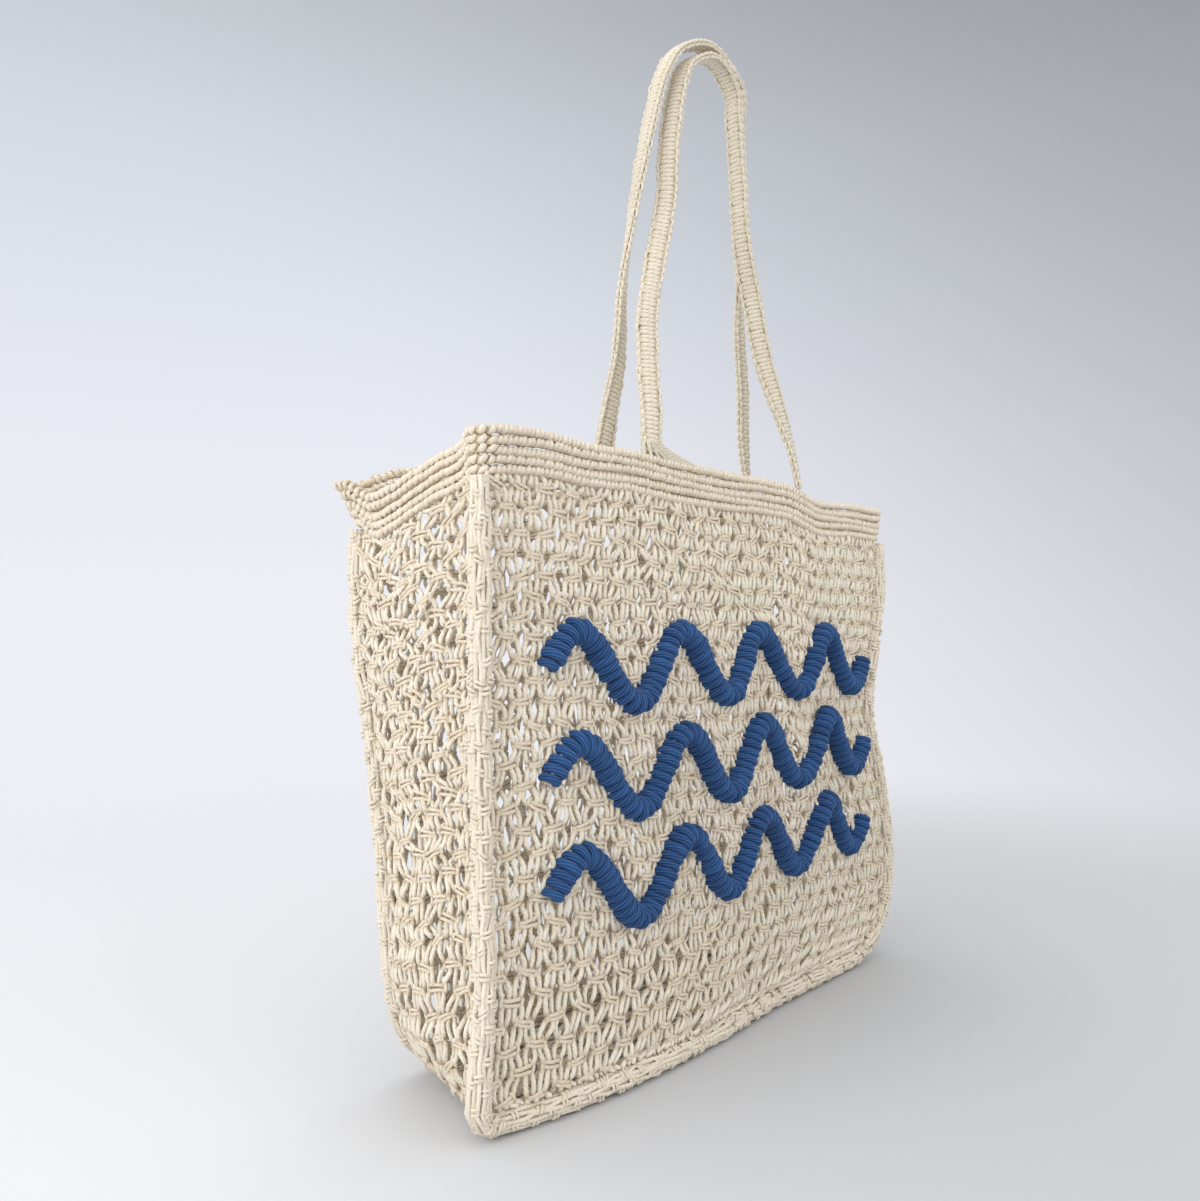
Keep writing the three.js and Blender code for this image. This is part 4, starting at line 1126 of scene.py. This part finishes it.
print("front strap:", len(strap_frames("front", FRONT_LEGS, 0.0, 1.0)[0]), "mm from foot to foot")

# %% [markdown]
# Along that line lie flat bars, across four straight cords that they nearly hide. At alternate edges a small
# loop turns back over two bars, on the strap's front and on its back. Bars and loops differ much less than
# the knots of the net do, because a strap is tied tight.

# %% Strap knots
BAR_PITCH, BAR_POINTS = 2.8, 10
BAR_REACH, BAR_DEPTH, BAR_LEAN = 4.7, 1.7, 0.25  # a bar's half width and half depth, and its slant
BAR_CORD, LOOP_CORD, CORE_CORD = 1.65, 1.15, 1.3  # radii
CORE_PLACES = (-3.2, -1.1, 1.1, 3.2)
STRAP_LOOP = np.array(
    [(4.5, -2.8, 0.2), (5.6, -1.8, 1.0), (6.0, 0.0, 1.25), (5.6, 1.8, 1.0), (4.5, 2.8, 0.2)])


def strap_bundle(face, legs, extra):
    bundle = Bundle()
    point, wide, off, along = strap_frames(face, legs, extra, BAR_PITCH)
    n = len(point)

    def room(keep, a, b, c):
        return (point[keep, None] + a[..., None] * wide[keep, None] + b[..., None] * along[keep, None]
                + c[..., None] * off[keep, None])

    turn = full_turn(BAR_POINTS)[None]
    every = np.arange(n)
    size = rng.normal(1.0, 0.03, (n, 1))
    bars = room(every, BAR_REACH * size * blunt(np.cos(turn), 0.7),
                by_turns(n, BAR_LEAN) * np.cos(turn) + rng.normal(0, 0.08, (n, 1)),
                BAR_DEPTH * blunt(np.sin(turn), 0.8))
    # Painted shade: each bar darkens towards its two ends.
    bundle.lay(bars, BAR_CORD, 6, closed=True, lie=along[:, None], flat=0.62, tone=rng.uniform(0.3, 0.6, n),
               nook=0.5 * np.abs(np.cos(turn)) ** 4)
    for side, first in ((-1.0, 0), (1.0, 1)):
        keep = every[first::2]
        for facing in (1.0, -1.0):
            big = rng.normal(1.0, 0.05, (len(keep), 1))
            loop = [STRAP_LOOP[None, :, k] * big for k in range(3)]
            bundle.lay(room(keep, loop[0] * side, loop[1], loop[2] * facing), LOOP_CORD, 5,
                       tone=rng.uniform(0.3, 0.6, len(keep)))
    point, wide, _, _ = strap_frames(face, legs, extra, 6.0)
    # The four core cords under the bars get strong painted shade.
    bundle.lay(np.stack([point + wide * shift for shift in CORE_PLACES]), CORE_CORD, 4, nook=0.8)
    return bundle


front_strap = strap_bundle("front", FRONT_LEGS, 0.0)
print("tubes of the front strap:", front_strap.count, "corners")

# %% [markdown]
# The front strap's left foot isn't tied off at once. Its cords sweep to the right along the top of the rim
# and go down into it one after another, like a fan. Every second cord lies a little further out.

# %% Fan at the foot
FAN_CORDS, FAN_CORD, FAN_REACH, FAN_HALF = 14, 1.2, 48.0, 6.0
FAN_START, FAN_END, FAN_STAGGER = 6.5, -3.5, 1.3  # height over the rim at both ends, and in and out


def fan(bundle):
    foot = footing("front", -STRAP_SPREAD / 2)
    share = np.arange(FAN_CORDS)[:, None] / (FAN_CORDS - 1)
    t = np.linspace(0, 1, 12)[None]
    rise = mix(FAN_START, FAN_END, t)
    x = foot[0] + mix(-FAN_HALF, FAN_HALF, share) + FAN_REACH * share * t ** 1.6
    across = 0.5 + x / SEAM_SPAN
    y = panel_point("front", across, x, rim_top(across) - RIM_HEIGHT)[..., 1]
    y = y - 0.4 + by_turns(FAN_CORDS, FAN_STAGGER)
    z = mix(foot[2], rim_top(across) + CLEAR, t) + rise
    bundle.lay(np.stack([x, y, z], -1), FAN_CORD, 5)


fan(front_strap)
make_piece(front_strap, "front_strap_knots", "front_strap", strap_cotton)
back_strap = strap_bundle("back", BACK_LEGS, BACK_HIGHER)
make_piece(back_strap, "back_strap_knots", "back_strap", strap_cotton)

# %% [markdown]
# ## The blue rolls
# Thick blue yarn is wrapped over and over across a padded line, so it stands up from the net as a roll of
# fat turns with a crease between each two. The yarn is spun from many plies, which show as fine slanting
# lines on every turn: a bump, with painted shade in the grooves between the plies. Here the rolls draw three
# plain waves.

# %% Blue yarn finish


def yarn_finish(name, light, dark):
    finish = Finish(name)
    around, along, tone = read_cord(finish)
    ply = (around * 9 + along * 0.16).wave()
    fuzz = speckle(finish, 1400.0)
    # (1 - ply) darkens the grooves between the plies, which is painted shade; tone and fuzz are the yarn's
    # own variation.
    share = (1 - ply.power(0.7)) * 0.75 + tone * 0.25 + (fuzz - 0.5) * 0.4
    bump = {"Strength": 0.8, "Distance": 0.0005, "Height": ply.power(0.6) + fuzz * 0.35}
    return yarn_surface(finish, finish.blend(share, light, dark), 0.78 + (fuzz - 0.5) * 0.2, bump,
                        {"Sheen Weight": 0.3, "Sheen Roughness": 0.45, "Sheen Tint": paint(140, 165, 210),
                         "Specular IOR Level": 0.3})


blue_yarn = yarn_finish("blue_yarn", paint(50, 95, 150), paint(12, 36, 76))

# %% Lines of the waves
WAVE_LENGTH, WAVE_SWING, WAVE_CRESTS = 350.0, 20.0, 4
WAVE_COUNT, WAVE_PITCH, WAVE_LOWEST = 3, 60.0, 116.0
WAVE_STEPS = 600  # points that a wave's length is measured on


def wave_line(number, t):
    x = (t - 0.5) * WAVE_LENGTH
    z = WAVE_LOWEST + number * WAVE_PITCH + WAVE_SWING * np.sin(2 * math.pi * WAVE_CRESTS * t)
    return panel_point("front", 0.5 + x / SEAM_SPAN, x, z)


print("lowest wave:", round(ways(wave_line(0, np.linspace(0, 1, WAVE_STEPS)))[-1]), "mm of roll")

# %% [markdown]
# Every turn of yarn is an arch from one side of the roll, over its top and down into the net on the other
# side. The arches stand square to the wave's line, a little skewed, and get smaller at both ends. No hand
# wraps quite evenly, so the turns differ in size, and slow lumps run along the roll.

# %% Waves
TURN_PITCH, TURN_POINTS, TURN_CORD = 5.2, 13, 2.8
ROLL_LUMPS, ROLL_END = 0.06, 7.0  # the share that lumps add, and how soon a roll is full, in mm
ROLL_HALF, ROLL_HIGH, ROLL_FOOT = 4.8, 6.2, 0.4  # to the middle of the yarn: half width, height, lift
ROLL_UNDER = 0.16  # how far an arch goes on below the level, as a share of half a turn


def wave(number):
    t = np.linspace(0, 1, WAVE_STEPS)
    way = ways(wave_line(number, t))
    count = int(way[-1] / TURN_PITCH)
    even = (np.arange(count) + 0.5) / count * way[-1]
    at = np.interp(even, way, t)
    point = wave_line(number, at)
    forward = unit(wave_line(number, at + 0.004) - wave_line(number, at - 0.004))
    x, z = point[:, 0], point[:, 2]
    east = panel_point("front", 0.5 + (x + 2) / SEAM_SPAN, x + 2, z) - point
    north = panel_point("front", 0.5 + x / SEAM_SPAN, x, z + 1) - point
    out = unit(np.cross(east, north))
    aside = unit(np.cross(forward, out))
    size = np.sqrt(np.clip((np.minimum(even, way[-1] - even) + 2.0) / ROLL_END, 0, 1))[:, None]
    lumps = ROLL_LUMPS * np.sin(even / 5.5 + rng.uniform(0, 6)) * np.sin(even / 13)
    size = size * (rng.normal(1.0, 0.05, (count, 1)) + lumps[:, None])
    turn = np.linspace(-ROLL_UNDER * math.pi, (1 + ROLL_UNDER) * math.pi, TURN_POINTS)[None]
    wide = ROLL_HALF * size * np.cos(turn)
    high = NET_THICK / 2 + ROLL_FOOT + ROLL_HIGH * size * np.sin(turn)
    skew = rng.normal(0.5, 0.25, (count, 1)) * np.cos(turn)
    lines = (point[:, None] + wide[..., None] * aside[:, None] + high[..., None] * out[:, None]
             + skew[..., None] * forward[:, None])
    bundle = Bundle()
    bundle.lay(lines, TURN_CORD * size ** 0.5, 8, lie=forward[:, None], flat=0.95)
    make_piece(bundle, f"wave_{number + 1}_yarn", f"wave_{number + 1}", blue_yarn)


for number in range(WAVE_COUNT):
    wave(number)

# %% [markdown]
# ## The studio
# The bag stands on a pale sweep of paper. A floor that ends would draw a line across the picture, so the
# floor is clear beyond some distance from the bag, and the world behind it has the paper's colour. The
# paper's colour is painted a little darker to the right: painted shade for the light falling off away from
# the main light.

# %% Floor
FLOOR_RADIUS, FLOOR_CORNERS = 4.0, 96
FLOOR_LOWER = 0.0006  # metres below the bag, so that the two never lie in one plane
FULL_PAPER, NO_PAPER = 0.35, 1.5  # metres from the bag
# Painted shade on the paper: its colour darkens along this direction, from PALE_TO to DARK_FROM.
PAPER_SHADE_WAY, PALE_TO, DARK_FROM = (0.6547, -0.7558, 0.0), -0.3, 0.25  # a direction, and metres along it


def shade_along(finish, place, way, start, end, most=1.0):
    """How far a place lies along a direction: nothing up to the start, the most from the end on."""
    reach = finish.node("ShaderNodeVectorMath", {"operation": "DOT_PRODUCT"}, {0: place, 1: way}, out=1)
    return finish.node("ShaderNodeMapRange", {"interpolation_type": "SMOOTHSTEP"},
                       {"Value": reach, "From Min": start, "From Max": end, "To Max": most})


def paper_finish():
    finish = Finish("paper")
    place = finish.node("ShaderNodeTexCoord", out=3)
    distance = finish.node("ShaderNodeVectorMath", {"operation": "LENGTH"}, {0: place}, out=1)
    fade = finish.node("ShaderNodeMapRange", {"interpolation_type": "SMOOTHERSTEP"},
                       {"Value": distance, "From Min": FULL_PAPER, "From Max": NO_PAPER,
                        "To Min": 1.0, "To Max": 0.0})
    # Painted shade: the paper's colour goes from its own pale grey to a darker one along that direction.
    shade = shade_along(finish, place, PAPER_SHADE_WAY, PALE_TO, DARK_FROM)
    tint = finish.blend(shade, paint(210, 211, 213), paint(185, 186, 187))
    paper = finish.node("ShaderNodeBsdfPrincipled", values={
        "Base Color": tint, "Roughness": 0.7, "Specular IOR Level": 0.2})
    clear = finish.node("ShaderNodeBsdfTransparent")
    finish.node("ShaderNodeOutputMaterial", values={
        "Surface": finish.node("ShaderNodeMixShader", values={0: fade, 1: clear, 2: paper})})
    return finish.owner


floor_mesh = bpy.data.meshes.new("Floor")
floor_mesh.from_pydata(
    [(FLOOR_RADIUS * math.cos(a), FLOOR_RADIUS * math.sin(a), -FLOOR_LOWER)
     for a in full_turn(FLOOR_CORNERS)],
    [], [tuple(range(FLOOR_CORNERS))])
floor_mesh.materials.append(paper_finish())
floor = put("Floor", floor_mesh)
print("floor:", 2 * FLOOR_RADIUS, "m wide")

# %% [markdown]
# Three round lights do the work. The large key stands to the left, so the side of the bag is bright. A warm,
# weaker one in front keeps the front in half shade, and one above gives the rim and the knots an upper edge.
# Large lights mean soft shadows, which is what makes cotton look like cotton.

# %% Lights
LOOK_AT = (0, 0, 0.2)


def soft_light(name, place, size, power, tint):
    data = bpy.data.lights.new(name, "AREA")
    data.shape, data.size, data.energy, data.color = "DISK", size, power, tint
    light = put(name, data)
    light.location = place
    light.rotation_euler = (Vector(LOOK_AT) - Vector(place)).to_track_quat("-Z", "Y").to_euler()
    print(f"{name} light: {size} m wide, {power} W")


soft_light("Key", (-2.0, 0.1, 1.0), 2.2, 25, (1.0, 0.985, 0.97))
soft_light("Front", (0.2, -2.2, 1.5), 1.8, 11, (1.0, 0.95, 0.88))
soft_light("Top", (0.1, 0.4, 2.4), 1.6, 10, (1.0, 1.0, 1.0))

# %% [markdown]
# The world is seen in two ways. What we see behind the bag is a ramp of the paper's tones from the horizon
# up, darker towards the upper right. What lights the bag is one plain pale colour, so we can set the one
# without the other. The light path node tells the two apart.

# %% World
DARKER_WAY, DARKEST = (0.511, -0.59, 0.625), 0.52  # a direction, and how dark it is there
WORLD_LIGHT = 1.22


def paper_world():
    world = bpy.data.worlds.new("Studio")
    finish = Finish("Studio", world)
    direction = finish.node("ShaderNodeTexCoord", out=0)
    height = finish.node("ShaderNodeSeparateXYZ", values={0: direction}).output(2)
    sweep = finish.node("ShaderNodeValToRGB", {"stops": [
        (0.0, paint(238, 239, 244)), (0.515, paint(237, 239, 245)), (0.583, paint(233, 235, 243)),
        (0.645, paint(223, 227, 235)), (0.702, paint(212, 216, 224)), (0.747, paint(197, 201, 208)),
        (1.0, paint(152, 156, 162))]}, {0: height * 0.5 + 0.5})
    shade = shade_along(finish, direction, DARKER_WAY, -0.05, 0.85, DARKEST)
    sweep = finish.blend(shade, sweep, (0.0, 0.0, 0.0, 1.0))
    seen = finish.node("ShaderNodeBackground", values={0: sweep, 1: 1.0})
    lit = finish.node("ShaderNodeBackground", values={0: paint(228, 230, 234), 1: WORLD_LIGHT})
    camera_ray = finish.node("ShaderNodeLightPath")
    finish.node("ShaderNodeOutputWorld", values={
        0: finish.node("ShaderNodeMixShader", values={0: camera_ray, 1: lit, 2: seen})})
    return world


bpy.context.scene.world = paper_world()
bpy.context.scene.view_settings.view_transform = "Standard"
print("view transform:", bpy.context.scene.view_settings.view_transform)
